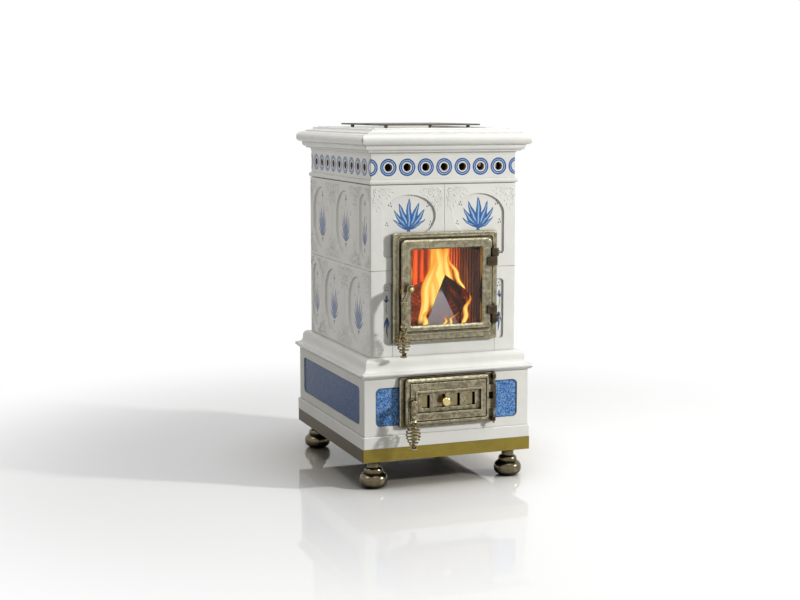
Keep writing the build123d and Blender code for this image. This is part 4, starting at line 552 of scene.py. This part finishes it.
half_fan = [(8, -36, -94, 52, 15, 28), (5, -36, -66, 66, 21, 26), (2, -35, -36, 72, 22, 15)]
fan = half_fan + mirrored(half_fan)
fan += [(0, -35, 0, 78, 22, 0), (-5, -37, 130, 13, 8, 0), (5, -37, -130, 13, 8, 0)]
fan += dabs(50, 20) + mirrored(dabs(50, 20)) + dabs(58, -30) + mirrored(dabs(58, -30))
front_fan = motif("front_fan", fan)

tall_half = [(4, -52, -80, 46, 10, 20), (4, -51, -54, 64, 12, 22),
             (2, -50, -32, 78, 12.5, 15), (1, -49, -13, 90, 12, 6)]
stem = [(0, 36, 4, 30, 2.4, 3), (2, 62, 2, 16, 7, 0), (1, 58, 42, 12, 4.5, 2), (3, 58, -42, 12, 4.5, -2)]
tall = tall_half + mirrored(tall_half) + [(0, -50, 0, 70, 8, 0)] + stem
tall += [(0, -57, 176, 12, 7, 0), (-6, -55, 150, 10, 5, 0), (6, -55, -150, 10, 5, 0)]
tall += dabs(38, 22) + mirrored(dabs(30, 34)) + [(52, -34, -40, 4, 2.4, 0), (-52, -30, 40, 4, 2.4, 0)]
side_fan = motif("side_fan", tall)

slim_half = [(2, -52, -44, 46, 8, 12), (1, -50, -20, 70, 9, 7)]
slim = slim_half + mirrored(slim_half) + [(0, -50, 0, 84, 8, 0), (0, -56, 178, 13, 8, 0)]
slim += [(0, 36, 3, 26, 2.2, 2), (2, 58, 2, 14, 6, 0), (1, 55, 38, 10, 4, 1), (3, 55, -38, 10, 4, -1)]
slim_fan = motif("slim_fan", slim + dabs(10, 20, 4.4))

strip = [(0, -8, 180, 58, 8, 2), (0, -10, 158, 30, 6, 4), (0, -10, -158, 30, 6, -4), (0, -4, 0, 40, 2.6, 2)]
strip += [(1, 34, 0, 17, 8, 0), (0, 31, 34, 12, 5, 2), (2, 31, -34, 12, 5, -2)] + dabs(-4, 60, 4.6)
strip_sprig = motif("strip_sprig", strip)

millimetre = 0.001
tile_faces = {"front": -0.0053, "back": -0.0053, "left": -0.0054, "right": -0.0054}  # painted past this
line_blue, wash_blue, streak_blue = (0.002, 0.022, 0.125, 1), (0.018, 0.150, 0.46, 1), (0.40, 0.62, 0.86, 1)


def painted(tree, colour, group, side, along, height, seed, flip):
    """Paint a motif on one face of the body, its middle at this place, in metres."""
    place = own_place(tree)
    axes = axes_of(tree, place)
    u = times(tree, minus(tree, axes[body_sides[side][0]], along), flip / millimetre)
    v = times(tree, minus(tree, axes["Z"], height), 1 / millimetre)
    flat = node(tree, "CombineXYZ", {0: u, 1: v, 2: seed * 31.0}).outputs[0]
    sway = node(tree, "TexNoise", {"Vector": flat, "Scale": 0.035, "Detail": 2.0}).outputs["Color"]
    sway = node(tree, "VectorMath", {0: sway, 1: (0.5, 0.5, 0.5)}, operation="SUBTRACT").outputs[0]
    by_hand = {0: sway, 1: (9.0, 9.0, 0.0), 2: flat}
    bristle = speckle(tree, flat, 0.55, 3.0, 0.5)
    drawn = use(tree, group, Place=node(tree, "VectorMath", by_hand, operation="MULTIPLY_ADD").outputs[0])
    streaks = scaled(tree, ramp(tree, bristle, 0.25, 0.6), 0.2, 0.8)
    cover = times(tree, drawn["Mask"], facing(tree, axes, side, tile_faces[side]), streaks)
    # Painted shade: on the left and right faces the blue is drawn darker.
    painted_shade_offset = 0.5 if side in ("front", "back") else 0.95
    tone = scaled(tree, minus(tree, bristle, painted_shade_offset), 0.55, drawn["Tone"])
    blue = blend(tree, ramp(tree, tone, 0.0, 0.55), line_blue, wash_blue)
    blue = blend(tree, ramp(tree, tone, 0.68, 1.05), blue, streak_blue)
    return blend(tree, cover, colour, blue)


def tile(name, *paintings):
    """Dress one tile in its own glaze, with what is painted on each of its faces."""
    seed = 30.0 + len(bpy.data.materials)

    def paint(tree, colour):
        for number, (group, side, along, height, flip) in enumerate(paintings):
            colour = painted(tree, colour, group, side, along, height, seed + number, flip)
        return colour
    dress(glaze(f"painted_{name}", seed, 0.0058, painting=paint), name)


half_tile = 0.105
upper, lower, above_door = 0.6955, 0.4675, 0.729
from_front, beside_door = 0.0995, 0.1625
for hand, flip in (("left", -1), ("right", 1)):
    tile(f"upper_tile_front_{hand}", (front_fan, "front", from_front * flip, above_door, flip),
         (slim_fan, hand, -2 * half_tile, upper, flip))
    tile(f"upper_tile_{hand}", (side_fan, hand, -0.5 * half_tile, upper, flip))
    tile(f"upper_tile_back_{hand}", (side_fan, hand, 1.5 * half_tile, upper, flip),
         (slim_fan, "back", 1.5 * half_tile * flip, upper, flip))
    tile(f"lower_tile_front_{hand}", (side_fan, hand, -1.5 * half_tile, lower, flip),
         (strip_sprig, "front", beside_door * flip, lower, flip))
    tile(f"lower_tile_{hand}", (side_fan, hand, 0.5 * half_tile, lower, flip))
    tile(f"lower_tile_back_{hand}", (side_fan, "back", half_tile * flip, lower, flip),
         (slim_fan, hand, 2 * half_tile, lower, flip))


# ------------------------------ relief of the tiles
# The moulds press a low vine into the corners round each recess: two scrolls that part from
# a leaf in the corner, with small leaves on the stem. The glaze almost levels it.
def spiral(x, y, start, turns, radius, width):
    """A scroll that winds in round x, y, with its half width at each point, in mm."""
    steps = int(14 * abs(turns)) + 4
    points = []
    for step in range(steps + 1):
        share = step / steps
        angle = math.radians(start) + turns * 2 * math.pi * share
        reach = radius * (1 - 0.8 * share)
        swell = 0.5 + 0.5 * math.sin(math.pi * min(share + 0.3, 1))
        points.append((x + reach * math.cos(angle), y + reach * math.sin(angle), width * swell))
    return points


def leaf_stroke(x, y, lean, length, width):
    """A pointed leaf of the relief."""
    way = Vector((math.sin(math.radians(lean)), math.cos(math.radians(lean))))
    return [(x + way.x * length * share, y + way.y * length * share, width * swell)
            for share, swell in ((0, 0.3), (0.3, 0.9), (0.6, 1.0), (0.85, 0.6), (1, 0.15))]


half_vine = [
    [(9, 7, 0.7), (14, 6.5, 0.9), (20, 8, 1.0)] + spiral(33, 15, 200, 1.4, 10.5, 1.1),
    [(28, 5.5, 0.5), (36, 3.8, 0.8), (44, 4.2, 0.9)] + spiral(51, 9, 235, 1.1, 5.6, 0.9),
    leaf_stroke(46, 20, 70, 11, 1.9), leaf_stroke(22, 20, 30, 10, 1.8), leaf_stroke(57, 13, 80, 9, 1.4),
    leaf_stroke(24, 2.5, 96, 9, 1.3), leaf_stroke(40, 25, 30, 8, 1.4),
]
vine = half_vine + [[(y, x, width) for x, y, width in stroke] for stroke in half_vine]
vine += [leaf_stroke(5, 5, 45, 14, 2.4), leaf_stroke(9, 4.2, 72, 8, 1.5), leaf_stroke(4.2, 9, 18, 8, 1.5)]


def lay_skin(shape, rings, closed=False):
    """Cover a row of rings of points with faces, from each ring to the next."""
    for near, far in zip(rings, rings[1:] + rings[:1] if closed else rings[1:]):
        for number in range(len(near)):
            other = (number + 1) % len(near)
            shape.faces.new((near[number], near[other], far[other], far[number]))


def press_vine(shape, corner, x_way, up_way, outward, size):
    """Raise the vine from a tile at this corner; its ways point from the corner into the tile."""
    for stroke in vine:
        rings = []
        for number, (x, y, width) in enumerate(stroke):
            before, after = stroke[max(number - 1, 0)], stroke[min(number + 1, len(stroke) - 1)]
            along = Vector((after[0] - before[0], after[1] - before[1])).normalized()
            ring = []
            for aside, rise in ((-1, -0.35), (-0.7, 0.42), (0, 0.62), (0.7, 0.42), (1, -0.35)):
                px = x - along.y * aside * width
                py = y + along.x * aside * width
                spot = corner + (x_way * px + up_way * py) * size * millimetre
                lift = rise if rise < 0 else rise * min(width, 1.3)
                ring.append(shape.verts.new(spot + outward * lift * millimetre))
            rings.append(ring)
        lay_skin(shape, rings)
        shape.faces.new(rings[0])
        shape.faces.new(rings[-1][::-1])


relief_glaze = glaze("white_glaze_relief", 71.0)
ways = {"X": Vector((1, 0, 0)), "Y": Vector((0, 1, 0))}
up = Vector((0, 0, 1))
courses = ((0.352, 0.5822), (0.583, 0.8072))
inset, door_top = 0.005, 0.7
tile_runs = {  # where the tiles of each course begin and end, in half tiles from the middle
    ("left", 0): ((-2.5, -0.5), (-0.5, 1.5), (1.5, 2.5)),
    ("left", 1): ((-2.5, -1.5), (-1.5, 0.5), (0.5, 2.5)),
    ("back", 0): ((-2, 0), (0, 2)), ("back", 1): ((-2, -1), (1, 2)), ("front", 1): ((-2, 0), (0, 2)),
}
tile_runs["right", 0], tile_runs["right", 1] = tile_runs["left", 0], tile_runs["left", 1]
for side in ("left", "right", "back", "front"):
    run_axis, out_axis, sign, depth = body_sides[side]
    run, outward = ways[run_axis], ways[out_axis] * sign
    shape = bmesh.new()
    for course, (low, high) in enumerate(courses):
        for start, end in tile_runs.get((side, course), ()):
            size = 1.0 if end - start > 1 else 0.56
            for x, x_way in ((start * half_tile + inset, run), (end * half_tile - inset, -run)):
                for z, up_way in ((low + inset, up), (high - inset, -up)):
                    if side == "front" and z < door_top:
                        continue
                    press_vine(shape, outward * depth + run * x + up * z, x_way, up_way, outward, size)
    bmesh.ops.recalc_face_normals(shape, faces=shape.faces)
    relief = new_piece(f"tile_relief_{side}", shape, relief_glaze)
    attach(relief, "stove")


# ------------------------------ frieze
# A pierced ring of white ceramic. A banding brush has drawn two rings of dark blue round
# every vent, and the rings run on round the corners.
vent_level, vent_pitch, recess = 0.853, half_tile / 2, 0.005
blue_rings = ((0.0140, 0.0178, (0.016, 0.13, 0.40, 1)), (0.0188, 0.0230, (0.012, 0.105, 0.35, 1)))
soft = 0.0003


def vent_rings(tree, colour):
    """The painting of the frieze."""
    place = own_place(tree)
    wobble = speckle(tree, place, 90.0, 2.0, 0.5)
    axes = axes_of(tree, place)
    up = minus(tree, axes["Z"], vent_level)
    for run_axis, out_axis, face in (("X", "Y", body_half_depth), ("Y", "X", body_half_width)):
        run = maths(tree, "ADD", axes[run_axis], vent_pitch / 2)
        along = minus(tree, maths(tree, "FLOORED_MODULO", run, vent_pitch), vent_pitch / 2)
        reach = wander(tree, distance(tree, along, up), wobble, 0.0016)
        outside = above(tree, maths(tree, "ABSOLUTE", axes[out_axis]), face - recess)
        for inner, outer, blue in blue_rings:
            ring = times(tree, ramp(tree, reach, inner - soft, inner + soft),
                         fall(tree, reach, outer - soft, outer + soft),
                         scaled(tree, wobble, 0.3, 0.85))
            colour = blend(tree, times(tree, ring, outside), colour, blue)
    return colour


dress(glaze("painted_frieze", 61.0, recess, painting=vent_rings), "frieze")


# ------------------------------ top plate, hearth, grate and baffle
# Grey iron castings, blacked and faintly rough from the sand of the mould, a little smoother and paler in
# cloudy patches.
def iron(name, dark, light, relief, painted_light_top=None):
    """Blacked iron; the feet that a plate stands on, below the given height, are painted pale grey as painted
    light, against the shade under the plate.
    """
    material, tree, shader = new_material(name)
    place = own_place(tree)
    sand = speckle(tree, place, 750.0, 4.0, 0.65)
    cloud = ramp(tree, speckle(tree, place, 18.0, 4.0), 0.35, 0.7)
    colour = blend(tree, cloud, dark, light)
    if painted_light_top:
        painted_light_feet = below(tree, axes_of(tree, place)["Z"], painted_light_top)
        colour = blend(tree, painted_light_feet, colour, (0.40, 0.385, 0.35, 1))
    rough = scaled(tree, sand, 0.25, scaled(tree, cloud, -0.12, 0.42))
    feed(tree, shader, {"Base Color": colour, "Roughness": rough, "Metallic": 0.6})
    textured(tree, shader, sand, relief, 0.001)
    return material


# The feet under the top plate are painted pale as painted light.
top_plate_iron = iron("top_plate_iron", (0.075, 0.066, 0.050, 1), (0.15, 0.135, 0.105, 1), 0.0002,
                      painted_light_top=0.9603)
dress(top_plate_iron, "top_plate")
hearth_iron = iron("hearth_iron", (0.02, 0.018, 0.016, 1), (0.06, 0.05, 0.045, 1), 0.0004)
dress(hearth_iron, "hearth_plate", "grate", "baffle")
dress(iron("flue_iron", (0.03, 0.03, 0.032, 1), (0.05, 0.05, 0.05, 1), 0.0001), "flue_collar")


# ------------------------------ firebricks
# Cast fireclay linings with upright flutes, red and sandy, smoked brown towards the top. Painted shade
# darkens the flutes, in bands down the right part and in their hollows, and between the bands painted
# firelight makes the clay glow red beside the fire.
firebrick, tree, shader = new_material("firebrick")
place = own_place(tree)
grit = speckle(tree, place, 520.0, 4.0, 0.7)
smoke = speckle(tree, place, 15.0, 4.0, 0.6, (1.0, 1.0, 0.35))
axes = axes_of(tree, place)
across = axes["X"]
red_clay, pale_clay, soot_brown = (0.44, 0.20, 0.12, 1), (0.60, 0.31, 0.20, 1), (0.10, 0.06, 0.045, 1)
painted_flute_shade_black, painted_hollow_shade_black = (0.09, 0.025, 0.015, 1), (0.07, 0.035, 0.025, 1)
no_glow, painted_firelight_red = (0.0, 0.0, 0.0, 1), (0.62, 0.075, 0.012, 1)
soot = ramp(tree, scaled(tree, smoke, 0.22, axes["Z"]), 0.58, 0.80)
colour = blend(tree, grit, red_clay, pale_clay)
# Painted shade: dark bands where the flutes stand in shade.
painted_flute_shade = maths(tree, "SINE", scaled(tree, smoke, 3.0, times(tree, across, 290.0)))
painted_flute_shade = times(tree, ramp(tree, painted_flute_shade, -0.5, 0.9), ramp(tree, across, -0.07, 0.05))
colour = blend(tree, painted_flute_shade, colour, painted_flute_shade_black, 0.85)
# painted shade in the hollows of the flutes
colour = blend(tree, hollows(tree, 0.012, 0.10, 0.50), colour, painted_hollow_shade_black, 0.4)
colour = blend(tree, soot, colour, soot_brown, 0.7)
# Painted firelight: the clay between the bands glows red.
painted_firelight = times(tree, minus(tree, 1.0, painted_flute_shade), ramp(tree, across, -0.045, 0.02),
              fall(tree, across, 0.085, 0.12))
feed(tree, shader, {"Base Color": colour, "Roughness": 0.9,
                    "Emission Color": blend(tree, painted_firelight, no_glow, painted_firelight_red), "Emission Strength": 0.5})
textured(tree, shader, grit, 0.0005)
dress(firebrick, "firebrick_back", "firebrick_left", "firebrick_right")


# ------------------------------ logs and fire
# Two split logs lie on the grate over a bed of embers, a third leans across them at the back,
# and a thick one rests in front with its sawn end to the door. Flames rise round them.
charred, tree, shader = new_material("charred_wood")
place = own_place(tree)
grain = speckle(tree, place, 70.0, 6.0, 0.7, (0.5, 0.5, 1.6))
cells = node(tree, "TexVoronoi", {"Vector": place, "Scale": 110.0}, feature="DISTANCE_TO_EDGE")
crack = fall(tree, cells.outputs["Distance"], 0.01, 0.09)
heat = times(tree, crack, ramp(tree, speckle(tree, place, 26.0, 3.0), 0.46, 0.62))
char_black, char_brown = (0.006, 0.004, 0.004, 1), (0.15, 0.05, 0.028, 1)
feed(tree, shader, {"Base Color": blend(tree, grain, char_black, char_brown),
                    "Roughness": 0.8, "Specular IOR Level": 0.2,
                    "Emission Color": blend(tree, heat, no_glow, (0.55, 0.06, 0.01, 1)),
                    "Emission Strength": 1.0})
relief = scaled(tree, crack, -0.6, grain)
textured(tree, shader, relief, 0.004)

sawn_end, tree, shader = new_material("sawn_end")
place = own_place(tree)
grain = speckle(tree, place, 160.0, 5.0, 0.6)
scorch = ramp(tree, scaled(tree, grain, 0.012, axes_of(tree, place)["Z"]), 0.512, 0.532)
colour = blend(tree, grain, (0.36, 0.30, 0.33, 1), (0.56, 0.48, 0.52, 1))
feed(tree, shader, {"Base Color": blend(tree, scorch, colour, (0.02, 0.012, 0.01, 1)), "Roughness": 0.85})
textured(tree, shader, grain, 0.001)


def split_log(name, front, back, bulge):
    """A wedge of a round log between two ends, each given by its pith, right and left edge, in mm."""
    dice = random.Random(name)
    shape = bmesh.new()
    outlines = []
    for apex, right, left in (front, back):
        apex, right, left = Vector(apex), Vector(right), Vector(left)
        bark = ((right + left) / 2 - apex).normalized() * bulge
        outline = [apex.lerp(right, step / 6) for step in range(6)]
        outline += [right.lerp(left, step / 8) + bark * math.sin(math.pi * step / 8) for step in range(8)]
        outline += [left.lerp(apex, step / 6) for step in range(6)]
        outlines.append(outline)
    rings, last = [], 16
    for step in range(last + 1):
        ring = []
        for near, far in zip(*outlines):
            rough = Vector([dice.uniform(-1, 1) for axis in range(3)]) * (0.7 if 0 < step < last else 0.3)
            ring.append(shape.verts.new((near.lerp(far, step / last) + rough) * millimetre))
        rings.append(ring)
    lay_skin(shape, rings)
    shape.faces.new(rings[0])
    shape.faces.new(rings[-1])
    bmesh.ops.recalc_face_normals(shape, faces=shape.faces)
    log = new_piece(name, shape, charred, smooth=False)
    log.data.materials.append(sawn_end)
    log.data.polygons[-2].material_index = 1  # the front end
    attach(log, "stove")


split_log("log_thick", front=((8, -216, 527), (60, -216, 424), (-44, -216, 402)),
          back=((58, -128, 549), (126, -136, 500), (10, -128, 430)), bulge=14)
split_log("log_left", front=((-72, -212, 414), (-36, -212, 356), (-108, -212, 358)),
          back=((-66, 80, 416), (-30, 80, 358), (-100, 80, 356)), bulge=12)
split_log("log_right", front=((78, -208, 416), (112, -208, 356), (42, -208, 356)),
          back=((66, 90, 412), (104, 90, 356), (30, 90, 358)), bulge=12)
split_log("log_back", front=((-40, 10, 480), (-40, -40, 412), (-40, 60, 414)),
          back=((112, -20, 552), (112, -90, 418), (112, 40, 418)), bulge=6)

embers, tree, shader = new_material("embers")
place = own_place(tree)
lumps = node(tree, "TexVoronoi", {"Vector": place, "Scale": 70.0}).outputs["Distance"]
glow = fall(tree, lumps, 0.15, 0.6)
feed(tree, shader, {"Base Color": (0.03, 0.02, 0.018, 1), "Roughness": 0.95,
                    "Emission Color": blend(tree, glow, (0.5, 0.03, 0.0, 1), (1.0, 0.28, 0.04, 1)),
                    "Emission Strength": 0.9})
bed = bmesh.new()
bmesh.ops.create_icosphere(bed, subdivisions=5, radius=1.0)
dice = random.Random(4)
bed_y, bed_bottom = -0.045, 0.342
bed_half_width, bed_half_length, bed_height = 0.112, 0.165, 0.045
for vert in bed.verts:
    x, y, z = vert.co
    lump = 1 + 0.10 * math.sin(x * 17 + 1) * math.sin(y * 21) + dice.uniform(-0.03, 0.03)
    rise = max(z, 0.0) * bed_height * lump
    vert.co = Vector((x * bed_half_width, bed_y + y * bed_half_length, bed_bottom + rise))
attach(new_piece("ember_bed", bed, embers), "stove")

flame_gas, tree, shader = new_material("flame_gas")
sheet = node(tree, "Attribute", attribute_name="tongue_place").outputs["Vector"]
axes = axes_of(tree, sheet)  # X runs across the tongue and Y up it
drift = node(tree, "VectorMath", {0: sheet, 1: (1.6, 0.8, 1.0)}, operation="MULTIPLY").outputs[0]
lick = node(tree, "TexNoise", {"Vector": drift, "Scale": 1.5, "Detail": 3.0, "Distortion": 0.4}).outputs[0]
across = maths(tree, "ABSOLUTE", wander(tree, axes["X"], lick, 1.1))
heart = fall(tree, across, 0.0, 0.95)
rise = fall(tree, axes["Y"], 0.45, 1.0)
heat = times(tree, heart, scaled(tree, rise, 0.65, 0.35))
colour = blend(tree, ramp(tree, heat, 0.05, 0.42), (0.80, 0.07, 0.0, 1), (1.0, 0.32, 0.015, 1))
colour = blend(tree, ramp(tree, heat, 0.48, 0.98), colour, (1.0, 0.76, 0.19, 1))
rim = fall(tree, maths(tree, "ABSOLUTE", axes["X"]), 0.25, 1.0)
cover = times(tree, ramp(tree, heat, 0.02, 0.80), rim, ramp(tree, axes["Y"], 0.0, 0.14))
feed(tree, shader, {"Base Color": (0.0, 0.0, 0.0, 1), "Roughness": 1.0, "Specular IOR Level": 0.0,
                    "Emission Color": colour, "Emission Strength": 1.15, "Alpha": cover})


def flame(name, root, height, width, lean, seed):
    """One tongue of fire: a flat pod that curls, widest above its foot and pointed at its tip, in metres."""
    dice = random.Random(seed)
    waves = [dice.uniform(0, 6.3) for number in range(4)]
    shape = bmesh.new()
    rings, marks, steps, parts = [], [], 36, 16
    for step in range(steps + 1):
        v = step / steps
        half = width * ((0.45 + 1.7 * v) * (1 - v) ** 0.8 + 0.02)
        sway = lean * v + 0.010 * math.sin(5 * v + waves[0]) * v + 0.004 * math.sin(13 * v + waves[1])
        middle = Vector((root[0] + sway, root[1] + 0.006 * math.sin(4 * v + waves[2]), root[2] + height * v))
        ring = []
        for part in range(parts):
            angle = 2 * math.pi * part / parts
            out = Vector((math.cos(angle) * half, math.sin(angle) * half * 0.3, 0))
            ring.append(shape.verts.new(middle + out))
            marks.append((math.cos(angle), v, seed * 3.7))
        rings.append(ring)
    lay_skin(shape, rings)
    shape.faces.new(rings[0][::-1])
    shape.faces.new(rings[-1])
    tongue = new_piece(name, shape, flame_gas)
    field = tongue.data.attributes.new("tongue_place", "FLOAT_VECTOR", "POINT")
    field.data.foreach_set("vector", [value for mark in marks for value in mark])
    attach(tongue, "stove")


# x, y and z of the foot, height, half width and lean of each tongue
flames = (
    (0.058, -0.085, 0.455, 0.235, 0.052, -0.006), (0.050, -0.060, 0.440, 0.235, 0.036, 0.012),
    (0.092, -0.050, 0.450, 0.215, 0.034, 0.004), (0.116, -0.126, 0.498, 0.115, 0.014, -0.050),
    (-0.012, -0.120, 0.410, 0.225, 0.030, 0.044), (-0.036, -0.040, 0.400, 0.220, 0.034, 0.012),
    (-0.042, -0.214, 0.392, 0.080, 0.016, 0.018), (0.018, -0.228, 0.408, 0.044, 0.009, 0.008),
    (0.036, -0.227, 0.408, 0.052, 0.008, 0.004), (0.086, -0.196, 0.402, 0.100, 0.016, 0.010),
    (0.104, -0.100, 0.420, 0.110, 0.034, -0.004), (-0.084, 0.020, 0.420, 0.190, 0.030, 0.004),
)
for number, (x, y, z, height, width, lean) in enumerate(flames):
    flame(f"flame_{number}", (x, y, z), height, width, lean, number + 1)


def fire_lamp(name, place, power, colour):
    """A warm glow among the flames, which the camera doesn't see."""
    light = bpy.data.lights.new(name, "POINT")
    light.energy = power
    light.color = colour
    light.shadow_soft_size = 0.03
    bulb = put(name, light)
    bulb.location = place
    bulb.visible_camera = False
    bulb.visible_glossy = False
    bulb.visible_transmission = False


fire_lamp("fire_lamp_low", place=(-0.060, -0.090, 0.450), power=1.0, colour=(1.0, 0.34, 0.14))
fire_lamp("fire_lamp_high", place=(0.030, 0.010, 0.555), power=1.7, colour=(1.0, 0.20, 0.04))


# ------------------------------ door frames and leaves
# Sand-cast brass, left matt in its hollows and polished by use on its rims and bars. The hinges,
# cast on with their frames and leaves, are never rubbed and have gone dark.
hinge_levels = ((0.430, 0.484), (0.585, 0.639))
hinge_edges = ((0.1302, -0.2752), (0.1145, -0.2882))  # what lies right of this X and before this Y
fire_hinges = [(*edge, *level) for level in hinge_levels for edge in hinge_edges]
ash_hinges = [(0.1162, -0.2982, 0.160, 0.310)]
door_dull, ash_door_dull = (0.180, 0.162, 0.108, 1), (0.150, 0.130, 0.083, 1)
for door, dull, hinges in (("", door_dull, fire_hinges), ("ash_", ash_door_dull, ash_hinges)):
    cast = brass(f"{door}door_brass", bright=(0.85, 0.77, 0.53, 1), dull=dull, dirt=(0.012, 0.009, 0.005, 1),
                 polish=0.20, relief=0.00010, edge_width=0.0022, corner_reach=0.012, hinges=hinges)
    dress(cast, f"{door}door_frame", f"{door}door_leaf")


# ------------------------------ hinges, handles and latches
# Forged pieces of dark bronze. The bare edges and the wire of the grips shine through, and
# the cap nut and the knob of the air slide are polished brass.
dark_bronze = brass(
    "dark_bronze", bright=(0.80, 0.68, 0.42, 1), dull=(0.125, 0.100, 0.060, 1), dirt=(0.010, 0.008, 0.005, 1),
    polish=0.20, relief=0.00006, edge_width=0.0020, corner_reach=0.008)
dress(dark_bronze, "hinge_pins", "ash_hinge_pin", "door_handle", "ash_handle",
      "door_latch_cam", "ash_latch_cam")
grip_brass = brass(
    "grip_brass", bright=(0.58, 0.45, 0.19, 1), dull=(0.12, 0.088, 0.036, 1), dirt=(0.02, 0.014, 0.008, 1),
    polish=0.16, relief=0.00004, edge_width=0.0005, corner_reach=0.006)
dress(grip_brass, "door_handle_grip", "ash_handle_grip")
bright_brass = brass(
    "bright_brass", bright=(0.80, 0.66, 0.34, 1), dull=(0.62, 0.49, 0.22, 1), dirt=(0.12, 0.09, 0.04, 1),
    polish=0.14, relief=0.00003, edge_width=0.0005, corner_reach=0.003)
dress(bright_brass, "door_handle_nut", "air_knob")
screw_steel = brass(
    "screw_steel", bright=(0.34, 0.33, 0.31, 1), dull=(0.20, 0.19, 0.18, 1), dirt=(0.03, 0.028, 0.025, 1),
    polish=0.26, relief=0.00003, edge_width=0.0004, corner_reach=0.003)
dress(screw_steel, "hinge_set_screws", "clip_screws", "glass_clips")
slide_brass = brass(
    "slide_brass", bright=(0.34, 0.28, 0.15, 1), dull=(0.22, 0.18, 0.095, 1), dirt=(0.025, 0.018, 0.01, 1),
    polish=0.24, relief=0.00006, edge_width=0.0006, corner_reach=0.004)
dress(slide_brass, "air_slide")


# ------------------------------ door glass
# A pane of clear fire glass, 4 mm thick, laid in the back of the leaf on its gasket and held
# there by four clips.
pane, tree, shader = new_material("door_glass")
feed(tree, shader, {"Base Color": (0.96, 0.97, 0.96, 1), "Roughness": 0.01, "IOR": 1.25,
                    "Transmission Weight": 1.0})
dress(pane, "door_glass")


# ------------------------------ seals
# Black glass-fibre rope: a flat one round the pane, and one of three twisted strands pressed
# into the back of the fire door.
rope_fibre, tree, shader = new_material("rope_fibre")
place = own_place(tree)
fibres = speckle(tree, place, 1400.0, 3.0)
dark_fibre, pale_fibre = (0.012, 0.012, 0.012, 1), (0.055, 0.052, 0.048, 1)
feed(tree, shader, {"Base Color": blend(tree, fibres, dark_fibre, pale_fibre),
                    "Roughness": 0.9, "Sheen Weight": 0.3})
textured(tree, shader, fibres, 0.0004)
dress(rope_fibre, "glass_gasket")


rope_inset, rope_corner = 0.003, 0.009
point_gap, lay_length = 0.0016, 0.011
strand_width, strand_depth = 0.00138, 0.00125  # half of each
strands_apart, strands_deep = 0.00150, 0.00062


def rope_run(low, high, inset, corner):
    """The line of a rope round a rectangle with round corners, in a plane across the stove."""
    left, right, bottom, top = low.x + inset, high.x - inset, low.z + inset, high.z - inset
    depth = (low.y + high.y) / 2
    points = []
    for x, z, start in ((right - corner, top - corner, 0), (left + corner, top - corner, 90),
                        (left + corner, bottom + corner, 180), (right - corner, bottom + corner, 270)):
        for step in range(7):
            angle = math.radians(start + 15 * step)
            points.append(Vector((x + corner * math.cos(angle), depth, z + corner * math.sin(angle))))
    run = []
    for here, there in zip(points, points[1:] + points[:1]):
        steps = max(int((there - here).length / point_gap), 1)
        run += [here.lerp(there, step / steps) for step in range(steps)]
    return run


run = rope_run(*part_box("door_gasket"), rope_inset, rope_corner)
depth_way = Vector((0, 1, 0))
rope = bmesh.new()
turns = round(len(run) * point_gap / lay_length)
strands, parts = 3, 6
for strand in range(strands):
    rings = []
    for number, point in enumerate(run):
        along = (run[(number + 1) % len(run)] - run[number - 1]).normalized()
        across = along.cross(depth_way)
        twist = 2 * math.pi * (turns * number / len(run) + strand / strands)
        centre = point + across * math.cos(twist) * strands_apart + depth_way * math.sin(twist) * strands_deep
        ring = []
        for part in range(parts):
            angle = 2 * math.pi * part / parts + twist
            out = across * math.cos(angle) * strand_width + depth_way * math.sin(angle) * strand_depth
            ring.append(rope.verts.new(centre + out))
        rings.append(ring)
    lay_skin(rope, rings, closed=True)
bmesh.ops.recalc_face_normals(rope, faces=rope.faces)
door_rope = new_piece("door_rope", rope, rope_fibre)
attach(door_rope, "fire_door")
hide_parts("door_gasket")
